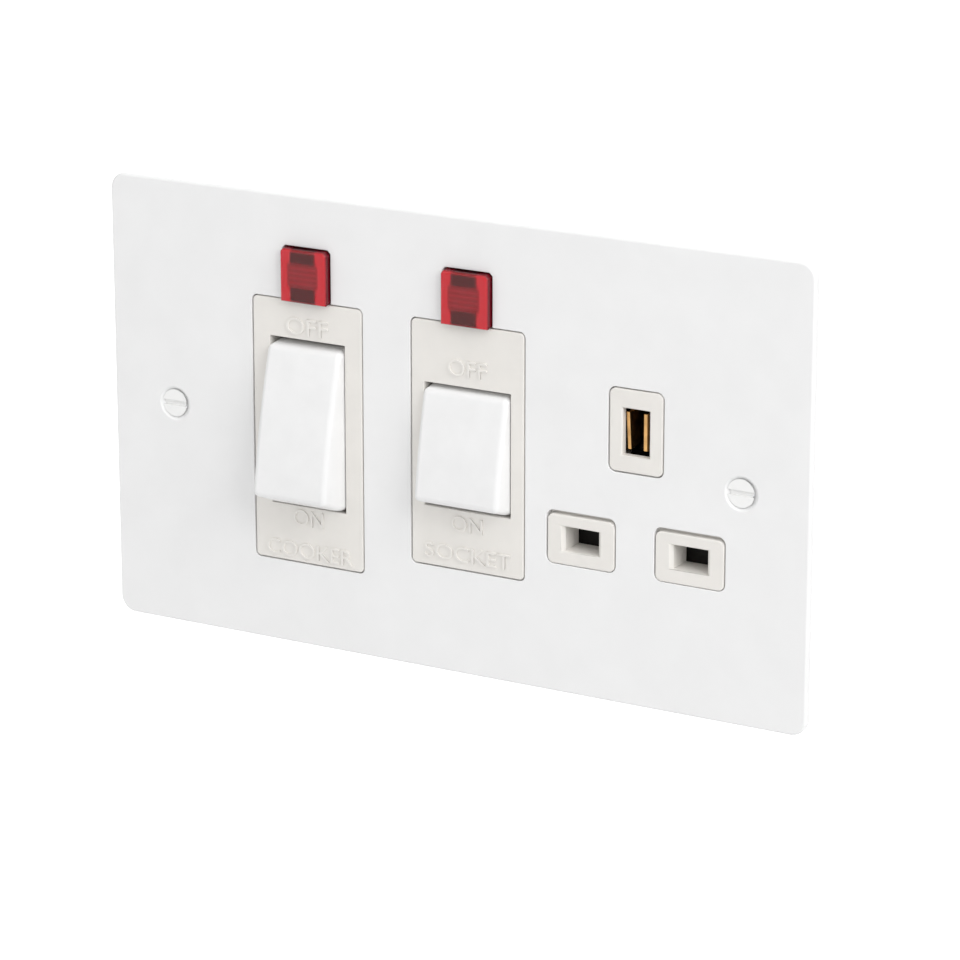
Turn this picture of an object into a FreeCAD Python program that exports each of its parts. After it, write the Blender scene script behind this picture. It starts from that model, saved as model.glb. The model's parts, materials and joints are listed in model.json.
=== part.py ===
import FreeCAD, Part
import math
import os
from FreeCAD import Vector

# Cooker control unit: a painted plate with a double-pole cooker switch, a switched
# three-pin socket and two neon indicators. Millimetres. +X is right, +Z is up and the
# front faces -Y. The plate's rear face lies on the wall plane y = 0.

# Face plate
PLATE_WIDTH = 148.0
PLATE_HEIGHT = 88.0
PLATE_THICKNESS = 1.6
PLATE_CORNER_RADIUS = 3.2
PLATE_EDGE_CHAMFER = 0.4
WINDOW_RADIUS = 1.2
WINDOW_GAP = 0.25

# Wall fixing screws, M3.5 at the standard two-gang pitch
FIXING_PITCH = 120.6
FIXING_RADIUS = 1.75
FIXING_CLEARANCE = 0.2
FIXING_HEAD_RADIUS = 3.25
FIXING_LENGTH = 26.0
FIXING_SLOT_WIDTH = 1.0
FIXING_SLOT_DEPTH = 0.7

# Flanges of the front mouldings, clamped behind the plate
FLANGE_THICKNESS = 2.0
FLANGE_SPLIT_COOKER = -12.0
FLANGE_SPLIT_SOCKET = 18.5
FLANGE_GAP = 0.2

# Rear housing
HOUSING_LEFT = -51.0
HOUSING_RIGHT = 56.5
HOUSING_BOTTOM = -33.0
HOUSING_TOP = 35.6
HOUSING_DEPTH = 22.0
HOUSING_WALL = 1.6
HOUSING_FLOOR = 2.0
HOUSING_CORNER_CHAMFER = 1.6
HOUSING_EDGE_CHAMFER = 0.8
PARTITION_THICKNESS = 1.5
PARTITION_HEIGHT = 8.6
LINK_SLOT_GAP = 0.4
LUG_RECESS_DEPTH = 1.6
LUG_RECESS_HALF_HEIGHT = 7.4

# Welded studs, nuts and the housing's ears
STUD_RADIUS = 1.5
STUD_LENGTH = 9.0
STUD_CLEARANCE = 0.2
STUD_LEFT_X = -55.0
STUD_LEFT_Z = 24.0
STUD_RIGHT_X = 60.2
STUD_RIGHT_Z = 27.0
EAR_HALF_WIDTH = 4.0
EAR_THICKNESS = 4.0
EAR_CHAMFER = 1.4
NUT_ACROSS_FLATS = 5.5
NUT_HEIGHT = 2.4

# Switch windows and rocker apertures
SWITCH_WINDOW_WIDTH = 24.3
SWITCH_WINDOW_TOP = 24.0
COOKER_X = -30.4
COOKER_WINDOW_BOTTOM = -27.8
COOKER_APERTURE_WIDTH = 16.4
COOKER_APERTURE_HEIGHT = 32.8
SOCKET_SWITCH_X = 4.1
SOCKET_SWITCH_WINDOW_BOTTOM = -23.7
SOCKET_APERTURE_WIDTH = 18.3
SOCKET_APERTURE_HEIGHT = 23.9
COLLAR_WALL = 1.6
COLLAR_DEPTH = 4.0

# Rockers, drawn level and then tilted to OFF
PIVOT_DEPTH = 3.0
COOKER_TILT = 12.5
COOKER_PROUD = 4.95
SOCKET_TILT = 10.5
SOCKET_PROUD = 3.2
COOKER_CROWN = 0.7
SOCKET_CROWN = 0.4
ROCKER_SIDE_GAP = 0.2
ROCKER_END_GAP = 0.5
ROCKER_SKIRT = 2.0
ROCKER_WALL = 1.4
ROCKER_CORNER_CHAMFER = 0.9
ROCKER_EDGE_CHAMFER = 0.8
TRUNNION_RADIUS = 1.25
TRUNNION_LENGTH = 1.6
TRUNNION_CLEARANCE = 0.05
KEEPER_GAP = 0.2

# Sprung plungers in the rockers
POLE_OFFSET = 4.0
TUBE_WALL = 0.7
TUBE_REACH = 6.0
BORE_END_WALL = 1.0
PLUNGER_HALF_WIDTH = 1.65
PLUNGER_CLEARANCE = 0.08
PLUNGER_REACH = 12.0
PLUNGER_LENGTH = 8.5
PLUNGER_NOSE = 1.2
PLUNGER_TAPER = 1.0
SPRING_WIRE = 0.4
SPRING_RADIUS = 1.15
SPRING_TURNS = 4
SPRING_SIDES = 6
SPRING_SEAT_GAP = 0.1

# Rocking contact bars
CONTACT_TILT = 9.5
CONTACT_WIDTH = 4.5
CONTACT_THICKNESS = 1.2
CONTACT_REACH = 10.0
CONTACT_GAP = 0.06
CRADLE_HALF_WIDTH = 2.9
TIP_HALF_WIDTH = 1.3
TIP_HEIGHT = 0.8
TIP_AT = 8.6
FIXED_TIP_HEIGHT = 2.2
POST_THICKNESS = 1.6
POST_GAP = 0.1
POST_EDGE_CHAMFER = 0.6
RISER_DEPTH = 3.2

# Brass strips and screw terminals
STRIP_WIDTH = 4.5
STRIP_THICKNESS = 1.5
LINK_THICKNESS = 1.2
LINK_STANDOFF = 1.2
TERMINAL_OFFSET = 9.0
BLOCK_WIDTH = 10.0
BLOCK_HEIGHT = 10.0
BLOCK_DEPTH = 9.0
BLOCK_WALL_GAP = 0.5
WIRE_BORE_RADIUS = 3.0
WIRE_ENTRY_GAP = 0.5
CLAMP_RADIUS = 2.4
CLAMP_STANDOFF = 4.4
CLAMP_TIP_GAP = 0.15
CLAMP_CLEARANCE = 0.05
CLAMP_SLOT_WIDTH = 1.0
CLAMP_SLOT_DEPTH = 1.2
SHROUD_GAP = 0.5
SHROUD_WALL = 1.6
SHROUD_HEIGHT = 3.2
SHROUD_CHAMFER = 0.8

# Neon lenses, lamps and resistors
LENS_WIDTH = 10.0
LENS_HEIGHT = 10.0
LENS_PROUD = 1.4
LENS_CORNER_CHAMFER = 0.6
LENS_EDGE_CHAMFER = 0.35
LENS_FACE_THICKNESS = 1.2
LENS_POCKET_WIDTH = 5.5
LENS_POCKET_MARGIN = 0.5
LENS_FLANGE = 1.2
LENS_FLANGE_TOP = 0.6
LENS_FLANGE_THICKNESS = 1.2
LENS_RIBS = 5
LENS_RIB_PITCH = 0.95
LENS_RIB_HEIGHT = 0.5
LENS_RIB_WIDTH = 7.0
LAMP_SLOT_WIDTH = 5.4
LAMP_SLOT_MARGIN = 0.7
LAMP_RADIUS = 2.1
LAMP_LENGTH = 8.6
RESISTOR_RADIUS = 1.1
RESISTOR_LENGTH = 6.4
RESISTOR_OFFSET = 5.6
CRADLE_RIB = 1.2
CRADLE_RIB_SPACING = 4.4
CRADLE_GAP = 0.06
CRADLE_FLOOR = 0.4

# Three-pin socket: pin pattern of the standard 13 A plug
SOCKET_X = 39.05
PIN_HALF_PITCH = 11.11
PIN_ROW_Z = -14.0
EARTH_PIN_Z = 8.22
LIVE_WINDOW_WIDTH = 14.4
LIVE_WINDOW_HEIGHT = 10.35
LIVE_WINDOW_Z = -13.9
LIVE_SIDE_GAP = 0.25
LIVE_TOP_GAP = 0.75
LIVE_BOTTOM_GAP = 0.1
EARTH_WINDOW_WIDTH = 11.35
EARTH_WINDOW_HEIGHT = 16.1
EARTH_WINDOW_Z = 8.4
EARTH_GAP = 0.25
ISLAND_RADIUS = 1.5
LIVE_HOLE_WIDTH = 6.9
LIVE_HOLE_HEIGHT = 4.7
EARTH_HOLE_WIDTH = 5.5
EARTH_HOLE_HEIGHT = 8.9
LIVE_HOLE_BEVEL = 0.65
EARTH_HOLE_BEVEL = 0.2
TUNNEL_WALL = 1.2
TUNNEL_DEPTH = 2.2
EARTH_FACE_THICKNESS = 1.5
EARTH_POCKET_MARGIN = 1.3
TONGUE_RIGHT = 59.0
TONGUE_TOP = -7.6
TONGUE_BOTTOM = -21.0

# Shutter: slides down to open the two live holes
SHUTTER_GAP = 0.2
SHUTTER_THICKNESS = 2.0
SHUTTER_HALF_WIDTH = 14.7
SHUTTER_HALF_HEIGHT = 3.3
SHUTTER_STEM_HALF_WIDTH = 4.0
SHUTTER_STEM_TOP = 3.2
SHUTTER_BLADE_WIDTH = 2.9
SHUTTER_TRAVEL = 6.0
RAMP_FRONT_GAP = 0.6
RAMP_BACK = 9.6
RAMP_LAND = 1.0
GUIDE_WALL = 1.2
GUIDE_LIP = 1.3
GUIDE_TOP = 2.6
GUIDE_BOTTOM = -9.4
SPRING_LEDGE_HALF_WIDTH = 3.0
SPRING_LEDGE_THICKNESS = 1.0
SPRING_LEDGE_GAP = 0.6
SHUTTER_SPRING_TURNS = 4
SHUTTER_SPRING_RADIUS = 1.4

# Pin clips and the earth contact
CLIP_THICKNESS = 0.8
CLIP_WIDTH = 6.0
CLIP_GRIP = 3.7
CLIP_MOUTH = 5.2
CLIP_MOUTH_GAP = 1.6
CLIP_FLARE = 2.5
CLIP_LENGTH = 10.0
CLIP_STEM = 4.0
LINE_STRIP_Z = 15.6
EARTH_LEAF_THICKNESS = 0.7
EARTH_LEAF_GAP = 3.5
EARTH_LEAF_HALF_HEIGHT = 3.5
EARTH_LEAF_FRONT_GAP = 1.1
EARTH_BRIDGE_Z = 13.6
EARTH_BLOCK_WIDTH = 16.0
EARTH_BORE_RADIUS = 2.3
EARTH_BORE_OFFSET = 4.0
EARTH_CLAMP_RADIUS = 1.9
STRAP_THICKNESS = 0.8
STRAP_HALF_WIDTH = 2.5

# Planes and places that follow from the sizes above
FRONT_Y = -PLATE_THICKNESS
PIVOT_Y = FRONT_Y + PIVOT_DEPTH
LENS_FRONT_Y = FRONT_Y - LENS_PROUD
LENS_Z = SWITCH_WINDOW_TOP + LENS_HEIGHT / 2
SEAT_Y = HOUSING_DEPTH
REAR_Y = SEAT_Y + HOUSING_FLOOR
STRIP_Y = SEAT_Y - STRIP_THICKNESS
BLOCK_Y = SEAT_Y - BLOCK_DEPTH
BORE_Y = SEAT_Y - BLOCK_DEPTH / 2
LINK_BACK_Y = BLOCK_Y - LINK_STANDOFF
LINK_Y = LINK_BACK_Y - LINK_THICKNESS
CONTACT_PIVOT_Y = PIVOT_Y + PLUNGER_REACH + CONTACT_GAP + CONTACT_THICKNESS
SUPPLY_Z = HOUSING_BOTTOM + HOUSING_WALL + BLOCK_WALL_GAP + BLOCK_HEIGHT / 2
LOAD_Z = HOUSING_TOP - HOUSING_WALL - BLOCK_WALL_GAP - BLOCK_HEIGHT / 2
PARTITION_Y = SEAT_Y - PARTITION_HEIGHT
NEUTRAL_PIN_X = SOCKET_X - PIN_HALF_PITCH
LINE_PIN_X = SOCKET_X + PIN_HALF_PITCH
SHUTTER_Y = FLANGE_THICKNESS + TUNNEL_DEPTH + SHUTTER_GAP
SHUTTER_BACK_Y = SHUTTER_Y + SHUTTER_THICKNESS
CLIP_Y = SHUTTER_BACK_Y + CLIP_MOUTH_GAP
CLIP_END_Y = CLIP_Y + CLIP_LENGTH
EARTH_LEAF_Y = FRONT_Y + EARTH_FACE_THICKNESS + EARTH_LEAF_FRONT_GAP
LAMP_Y = FLANGE_THICKNESS + CRADLE_FLOOR + CRADLE_GAP + LAMP_RADIUS
FIXING_PLACES = (-FIXING_PITCH / 2, FIXING_PITCH / 2)
STUD_PLACES = (
    (STUD_LEFT_X, -STUD_LEFT_Z),
    (STUD_LEFT_X, STUD_LEFT_Z),
    (STUD_RIGHT_X, -STUD_RIGHT_Z),
    (STUD_RIGHT_X, STUD_RIGHT_Z),
)
STRAP_STUD = STUD_PLACES[3]


class Switch:
    """Places and angles of one rocker switch, worked out from its driving sizes."""

    def __init__(self, x, bottom, width, height, tilt, proud, crown, poles):
        self.x = x
        self.window_bottom = bottom
        self.width = width
        self.height = height
        self.tilt = tilt
        self.poles = poles
        self.rise = (proud + PIVOT_DEPTH) / math.cos(math.radians(tilt))
        self.end_rise = self.rise - crown
        self.skirt_half_length = height / 2 - ROCKER_END_GAP
        lean = self.end_rise * math.sin(math.radians(tilt))
        self.half_length = (self.skirt_half_length - lean) / math.cos(math.radians(tilt))
        self.rocker_width = width - 2 * ROCKER_SIDE_GAP
        self.bore_end = self.rise - crown - ROCKER_WALL - BORE_END_WALL
        self.ratio = CONTACT_TILT / tilt

    def cradle_radius(self):
        """Radius of the bar's cradle that the plunger's nose follows through the whole tilt."""
        nose_arm = PLUNGER_REACH - PLUNGER_NOSE
        nose_height = CONTACT_THICKNESS + CONTACT_GAP + PLUNGER_NOSE
        sweep = nose_arm - nose_height * self.ratio
        bend = (nose_arm / 2 + self.ratio * sweep) / sweep ** 2
        return 1 / (2 * bend) + PLUNGER_NOSE + CONTACT_GAP

    def tilted(self, shape):
        """A copy of a level rocker part, turned about the trunnions to OFF."""
        copy = shape.copy()
        copy.rotate(Vector(self.x, PIVOT_Y, 0), Vector(1, 0, 0), -self.tilt)
        return copy


COOKER = Switch(COOKER_X, COOKER_WINDOW_BOTTOM, COOKER_APERTURE_WIDTH, COOKER_APERTURE_HEIGHT,
                COOKER_TILT, COOKER_PROUD, COOKER_CROWN, (-POLE_OFFSET, POLE_OFFSET))
SOCKET = Switch(SOCKET_SWITCH_X, SOCKET_SWITCH_WINDOW_BOTTOM, SOCKET_APERTURE_WIDTH,
                SOCKET_APERTURE_HEIGHT, SOCKET_TILT, SOCKET_PROUD, SOCKET_CROWN, (0.0,))


def box(x0, x1, y0, y1, z0, z1):
    return Part.makeBox(x1 - x0, y1 - y0, z1 - z0, Vector(x0, y0, z0))


def rod(radius, start, end):
    return Part.makeCylinder(radius, (end - start).Length, start, end - start)


def edges_along(solid, axis):
    """Straight edges of a solid that run along an axis."""
    found = []
    for edge in solid.Edges:
        span = edge.lastVertex().Point - edge.firstVertex().Point
        if edge.Curve.TypeId == "Part::GeomLine" and span.cross(axis).Length < 1e-6:
            found.append(edge)
    return found


def edges_at_y(solid, y):
    """Edges that lie wholly in the plane y."""
    return [e for e in solid.Edges if abs(e.BoundBox.YMin - y) < 1e-6 and abs(e.BoundBox.YMax - y) < 1e-6]


def slab(x, z, width, height, radius, y0, y1):
    """Prism along y of a rectangle with round corners, centred on (x, z)."""
    solid = box(x - width / 2, x + width / 2, y0, y1, z - height / 2, z + height / 2)
    return solid.makeFillet(radius, edges_along(solid, Vector(0, 1, 0)))


def cut_slab(x, z, width, height, cut, y0, y1):
    """Prism along y of a rectangle with its corners cut off, centred on (x, z)."""
    solid = box(x - width / 2, x + width / 2, y0, y1, z - height / 2, z + height / 2)
    return solid.makeChamfer(cut, edges_along(solid, Vector(0, 1, 0)))


def extruded(points, x, width):
    """Prism along x of a closed outline of (y, z) points, centred on x."""
    corners = [Vector(x - width / 2, y, z) for y, z in points]
    face = Part.Face(Part.makePolygon(corners + corners[:1]))
    return face.extrude(Vector(width, 0, 0))


def turned(points, x, z):
    """Solid of revolution about the y axis through (x, z) of (radius, y) points."""
    corners = [Vector(x + radius, y, z) for radius, y in points]
    face = Part.Face(Part.makePolygon(corners + corners[:1]))
    return face.revolve(Vector(x, 0, z), Vector(0, 1, 0), 360)


def joined(first, others):
    return first.fuse(list(others)).removeSplitter()


def face_plate():
    plate = slab(0, 0, PLATE_WIDTH, PLATE_HEIGHT, PLATE_CORNER_RADIUS, FRONT_Y, 0)
    plate = plate.makeChamfer(PLATE_EDGE_CHAMFER, edges_at_y(plate, FRONT_Y))
    windows = []
    for switch in (COOKER, SOCKET):
        height = SWITCH_WINDOW_TOP - switch.window_bottom
        middle = (SWITCH_WINDOW_TOP + switch.window_bottom) / 2
        windows.append(slab(switch.x, middle, SWITCH_WINDOW_WIDTH, height, WINDOW_RADIUS, FRONT_Y, 0))
        lens_width = LENS_WIDTH + 2 * WINDOW_GAP
        overlap = LENS_HEIGHT / 2
        lens_height = LENS_HEIGHT + WINDOW_GAP + overlap
        lens_z = LENS_Z + WINDOW_GAP / 2 - overlap / 2
        windows.append(cut_slab(switch.x, lens_z, lens_width, lens_height, LENS_CORNER_CHAMFER, FRONT_Y, 0))
    windows.append(slab(SOCKET_X, EARTH_WINDOW_Z, EARTH_WINDOW_WIDTH, EARTH_WINDOW_HEIGHT,
                        ISLAND_RADIUS, FRONT_Y, 0))
    for x in (NEUTRAL_PIN_X, LINE_PIN_X):
        windows.append(slab(x, LIVE_WINDOW_Z, LIVE_WINDOW_WIDTH, LIVE_WINDOW_HEIGHT,
                            ISLAND_RADIUS, FRONT_Y, 0))
    for x in FIXING_PLACES:
        windows.append(turned(fixing_outline(FIXING_CLEARANCE, 0), x, 0))
    return plate.cut(windows)


def fixing_outline(clearance, tip_y):
    """Half section of a countersunk screw, or of its hole when a clearance is given."""
    shank = FIXING_RADIUS + clearance
    head = FIXING_HEAD_RADIUS + clearance / 2
    return [(0, FRONT_Y), (head, FRONT_Y), (shank, FRONT_Y + head - shank), (shank, tip_y), (0, tip_y)]


def fixing_screws():
    screws = []
    for x in FIXING_PLACES:
        screw = turned(fixing_outline(0, FRONT_Y + FIXING_LENGTH), x, 0)
        slot = box(x - FIXING_HEAD_RADIUS, x + FIXING_HEAD_RADIUS, FRONT_Y, FRONT_Y + FIXING_SLOT_DEPTH,
                   -FIXING_SLOT_WIDTH / 2, FIXING_SLOT_WIDTH / 2)
        screws.append(screw.cut(slot))
    return Part.makeCompound(screws)


def switch_frame(switch, left, right):
    """Moulding round a rocker: flush block, flange, collar, bearings and lamp cradle."""
    top = SWITCH_WINDOW_TOP - WINDOW_GAP
    bottom = switch.window_bottom + WINDOW_GAP
    block = slab(switch.x, (top + bottom) / 2, SWITCH_WINDOW_WIDTH - 2 * WINDOW_GAP, top - bottom,
                 WINDOW_RADIUS - WINDOW_GAP, FRONT_Y, FLANGE_THICKNESS)
    flange = box(left, right, 0, FLANGE_THICKNESS, HOUSING_BOTTOM, HOUSING_TOP)
    collar_y = FLANGE_THICKNESS + COLLAR_DEPTH
    collar = cut_slab(switch.x, 0, switch.width + 2 * COLLAR_WALL, switch.height + 2 * COLLAR_WALL,
                      COLLAR_WALL, FLANGE_THICKNESS, collar_y)
    frame = joined(block, [flange, collar] + lamp_cradle(switch))
    half_width = switch.width / 2
    half_height = switch.height / 2
    aperture = box(switch.x - half_width, switch.x + half_width, FRONT_Y, collar_y,
                   -half_height, half_height)
    frame = frame.cut(aperture)
    bearing = TRUNNION_RADIUS + TRUNNION_CLEARANCE
    half = half_width + COLLAR_WALL
    seat = rod(bearing, Vector(switch.x - half, PIVOT_Y, 0), Vector(switch.x + half, PIVOT_Y, 0))
    mouth = box(switch.x - half, switch.x + half, PIVOT_Y, collar_y, -bearing, bearing)
    frame = frame.cut([seat, mouth])
    return frame.cut(lens_rebate(switch))


def lamp_cradle(switch):
    """Two notched ribs behind the lens that hold the lamp and its resistor."""
    lamp_half = LAMP_RADIUS + CRADLE_GAP
    resistor_half = RESISTOR_RADIUS + CRADLE_GAP
    resistor_x = switch.x + RESISTOR_OFFSET
    ribs = []
    for side in (-1, 1):
        z = LENS_Z + side * CRADLE_RIB_SPACING / 2
        low = z - CRADLE_RIB / 2
        high = z + CRADLE_RIB / 2
        rib = box(switch.x - lamp_half - CRADLE_RIB, resistor_x + resistor_half + CRADLE_RIB,
                  FLANGE_THICKNESS, LAMP_Y, low, high)
        notches = [box(switch.x - lamp_half, switch.x + lamp_half, LAMP_Y - lamp_half, LAMP_Y, low, high),
                   box(resistor_x - resistor_half, resistor_x + resistor_half,
                       LAMP_Y - CRADLE_GAP - resistor_half, LAMP_Y, low, high)]
        ribs.append(rib.cut(notches))
    return ribs


def lens_rebate(switch):
    """Seat for the lens flange and the slot that the lamp shines through."""
    half = LENS_WIDTH / 2 + LENS_FLANGE + WINDOW_GAP
    top = SWITCH_WINDOW_TOP + LENS_HEIGHT + LENS_FLANGE_TOP + WINDOW_GAP
    rebate = box(switch.x - half, switch.x + half, 0, LENS_FLANGE_THICKNESS, SWITCH_WINDOW_TOP, top)
    half_slot = LENS_HEIGHT / 2 - LAMP_SLOT_MARGIN
    slot = box(switch.x - LAMP_SLOT_WIDTH / 2, switch.x + LAMP_SLOT_WIDTH / 2, 0, FLANGE_THICKNESS,
               LENS_Z - half_slot, LENS_Z + half_slot)
    return [rebate, slot]


def neon_lens(switch):
    """Clear cap with a rear flange and a pocket over the lamp, with prism ribs across its roof."""
    cap = cut_slab(switch.x, LENS_Z, LENS_WIDTH, LENS_HEIGHT, LENS_CORNER_CHAMFER, LENS_FRONT_Y, 0)
    cap = cap.makeChamfer(LENS_EDGE_CHAMFER, edges_at_y(cap, LENS_FRONT_Y))
    half = LENS_WIDTH / 2 + LENS_FLANGE
    top = SWITCH_WINDOW_TOP + LENS_HEIGHT + LENS_FLANGE_TOP
    flange = box(switch.x - half, switch.x + half, 0, LENS_FLANGE_THICKNESS, SWITCH_WINDOW_TOP, top)
    inner_y = LENS_FRONT_Y + LENS_FACE_THICKNESS
    half_pocket = LENS_HEIGHT / 2 - LENS_POCKET_MARGIN
    half_ribs = LENS_RIBS * LENS_RIB_PITCH / 2
    pockets = []
    for half_width, half_height in ((LENS_POCKET_WIDTH / 2, half_pocket), (LENS_RIB_WIDTH / 2, half_ribs)):
        pockets.append(box(switch.x - half_width, switch.x + half_width, inner_y, LENS_FLANGE_THICKNESS,
                           LENS_Z - half_height, LENS_Z + half_height))
    lens = joined(cap, [flange]).cut(pockets)
    ribs = []
    for index in range(LENS_RIBS):
        z = LENS_Z + (index - (LENS_RIBS - 1) / 2) * LENS_RIB_PITCH
        base_y = inner_y - LENS_FACE_THICKNESS / 4
        outline = [(base_y, z - LENS_RIB_PITCH / 2), (inner_y + LENS_RIB_HEIGHT, z),
                   (base_y, z + LENS_RIB_PITCH / 2)]
        ribs.append(extruded(outline, switch.x, LENS_RIB_WIDTH))
    return joined(lens, ribs)


def neon_lamp(switch):
    half = Vector(0, 0, LAMP_LENGTH / 2)
    centre = Vector(switch.x, LAMP_Y, LENS_Z)
    return rod(LAMP_RADIUS, centre - half, centre + half)


def resistor(switch):
    half = Vector(0, 0, RESISTOR_LENGTH / 2)
    centre = Vector(switch.x + RESISTOR_OFFSET, LAMP_Y - CRADLE_GAP, LENS_Z)
    return rod(RESISTOR_RADIUS, centre - half, centre + half)


def rocker_outline(switch, inset):
    """Side outline of a level rocker: crowned face and ends that flare to close the aperture."""
    x = switch.x
    front_y = PIVOT_Y - switch.end_rise + inset
    crown_y = PIVOT_Y - switch.rise + inset
    back_y = PIVOT_Y + ROCKER_SKIRT
    front_z = switch.half_length - inset
    back_z = switch.skirt_half_length - inset
    top = Vector(x, front_y, front_z)
    bottom = Vector(x, front_y, -front_z)
    back_low = Vector(x, back_y, -back_z)
    back_high = Vector(x, back_y, back_z)
    face_line = Part.Arc(top, Vector(x, crown_y, 0), bottom).toShape()
    sides = Part.makePolygon([bottom, back_low, back_high, top])
    return Part.Face(Part.Wire([face_line] + sides.Edges))


def rocker(switch):
    """Hollow rocker with a crowned, bevelled face, two trunnions and its plunger tubes."""
    width = switch.rocker_width
    shell = rocker_outline(switch, 0).extrude(Vector(width, 0, 0))
    shell.translate(Vector(-width / 2, 0, 0))
    upright = [e for e in shell.Edges if e.BoundBox.XLength < 1e-6 and e.BoundBox.YMax > PIVOT_Y
               and e.BoundBox.YMin < PIVOT_Y]
    shell = shell.makeChamfer(ROCKER_CORNER_CHAMFER, upright)
    face = min(shell.Faces, key=lambda f: f.CenterOfMass.y)
    shell = shell.makeChamfer(ROCKER_EDGE_CHAMFER, face.OuterWire.Edges)
    room = width - 2 * ROCKER_WALL
    cavity = rocker_outline(switch, ROCKER_WALL).extrude(Vector(room, 0, 0))
    cavity.translate(Vector(-room / 2, 0, 0))
    shell = shell.cut(cavity)
    additions = []
    for side in (-1, 1):
        inner = Vector(switch.x + side * room / 2, PIVOT_Y, 0)
        outer = Vector(switch.x + side * (width / 2 + TRUNNION_LENGTH), PIVOT_Y, 0)
        additions.append(rod(TRUNNION_RADIUS, inner, outer))
    bores = []
    roof_y = PIVOT_Y - switch.end_rise + ROCKER_WALL / 2
    mouth_y = PIVOT_Y + TUBE_REACH
    bore = PLUNGER_HALF_WIDTH + PLUNGER_CLEARANCE
    tube = bore + TUBE_WALL
    for pole in switch.poles:
        x = switch.x + pole
        additions.append(box(x - tube, x + tube, roof_y, mouth_y, -tube, tube))
        bores.append(box(x - bore, x + bore, PIVOT_Y - switch.bore_end, mouth_y, -bore, bore))
    return switch.tilted(joined(shell, additions).cut(bores))


def plunger(switch, pole):
    """Square plunger with a tapered end and a half-round nose."""
    x = switch.x + pole
    half = PLUNGER_HALF_WIDTH
    inner_y = PIVOT_Y + PLUNGER_REACH - PLUNGER_LENGTH
    nose_y = PIVOT_Y + PLUNGER_REACH - PLUNGER_NOSE
    taper_y = nose_y - PLUNGER_TAPER
    outline = [(inner_y, -half), (taper_y, -half), (nose_y, -PLUNGER_NOSE),
               (nose_y, PLUNGER_NOSE), (taper_y, half), (inner_y, half)]
    nose = rod(PLUNGER_NOSE, Vector(x - half, nose_y, 0), Vector(x + half, nose_y, 0))
    return switch.tilted(joined(extruded(outline, x, 2 * half), [nose]))


def coil(radius, turns, start, end):
    """Coil spring between two points, swept along a many-sided helix."""
    length = (end - start).Length - SPRING_WIRE
    count = turns * SPRING_SIDES
    points = []
    for index in range(count + 1):
        angle = 2 * math.pi * index / SPRING_SIDES
        rise = SPRING_WIRE / 2 + length * index / count
        points.append(Vector(radius * math.cos(angle), radius * math.sin(angle), rise))
    half = SPRING_WIRE / 2
    corners = [Vector(radius + a * half, 0, half + b * half) for a, b in ((-1, -1), (1, -1), (1, 1), (-1, 1))]
    section = Part.makePolygon(corners + corners[:1])
    spring = Part.makePolygon(points).makePipeShell([section], True, False, 1)
    turn = FreeCAD.Rotation(Vector(0, 0, 1), end - start)
    spring.Placement = FreeCAD.Placement(start, turn)
    return spring


def plunger_spring(switch, pole):
    x = switch.x + pole
    inner_y = PIVOT_Y + PLUNGER_REACH - PLUNGER_LENGTH - SPRING_SEAT_GAP
    end_y = PIVOT_Y - switch.bore_end + SPRING_SEAT_GAP
    return switch.tilted(coil(SPRING_RADIUS, SPRING_TURNS, Vector(x, inner_y, 0), Vector(x, end_y, 0)))


def bar_outline(switch, x):
    """Side outline of a level contact bar: two flat wings and a round cradle between them."""
    radius = switch.cradle_radius()
    floor_y = CONTACT_PIVOT_Y - CONTACT_THICKNESS
    centre_y = floor_y - radius
    wing_y = centre_y + math.sqrt(radius ** 2 - CRADLE_HALF_WIDTH ** 2)
    under_y = wing_y + CONTACT_THICKNESS
    outer = radius + CONTACT_THICKNESS
    under_half = math.sqrt(outer ** 2 - (under_y - centre_y) ** 2)
    upper = [Vector(x, wing_y, -CONTACT_REACH), Vector(x, wing_y, -CRADLE_HALF_WIDTH)]
    upper_end = [Vector(x, wing_y, CRADLE_HALF_WIDTH), Vector(x, wing_y, CONTACT_REACH)]
    lower = [Vector(x, under_y, CONTACT_REACH), Vector(x, under_y, under_half)]
    lower_end = [Vector(x, under_y, -under_half), Vector(x, under_y, -CONTACT_REACH)]
    cradle = Part.Arc(upper[1], Vector(x, floor_y, 0), upper_end[0]).toShape()
    belly = Part.Arc(lower[1], Vector(x, CONTACT_PIVOT_Y, 0), lower_end[0]).toShape()
    edges = [Part.makeLine(*upper), cradle, Part.makeLine(*upper_end), Part.makeLine(upper_end[1], lower[0]),
             Part.makeLine(*lower), belly, Part.makeLine(*lower_end), Part.makeLine(lower_end[1], upper[0])]
    return Part.Face(Part.Wire(edges)), under_y


def silver_tip(x, y0, y1):
    half = TIP_HALF_WIDTH
    return box(x - half, x + half, y0, y1, TIP_AT - half, TIP_AT + half)


def contact_bar(switch, pole):
    """Rocking bar with a silver tip under its upper wing, lying in its open position."""
    x = switch.x + pole
    face, under_y = bar_outline(switch, x - CONTACT_WIDTH / 2)
    bar = face.extrude(Vector(CONTACT_WIDTH, 0, 0))
    bar = joined(bar, [silver_tip(x, under_y, under_y + TIP_HEIGHT)])
    bar.rotate(Vector(x, CONTACT_PIVOT_Y, 0), Vector(1, 0, 0), CONTACT_TILT)
    return bar


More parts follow.
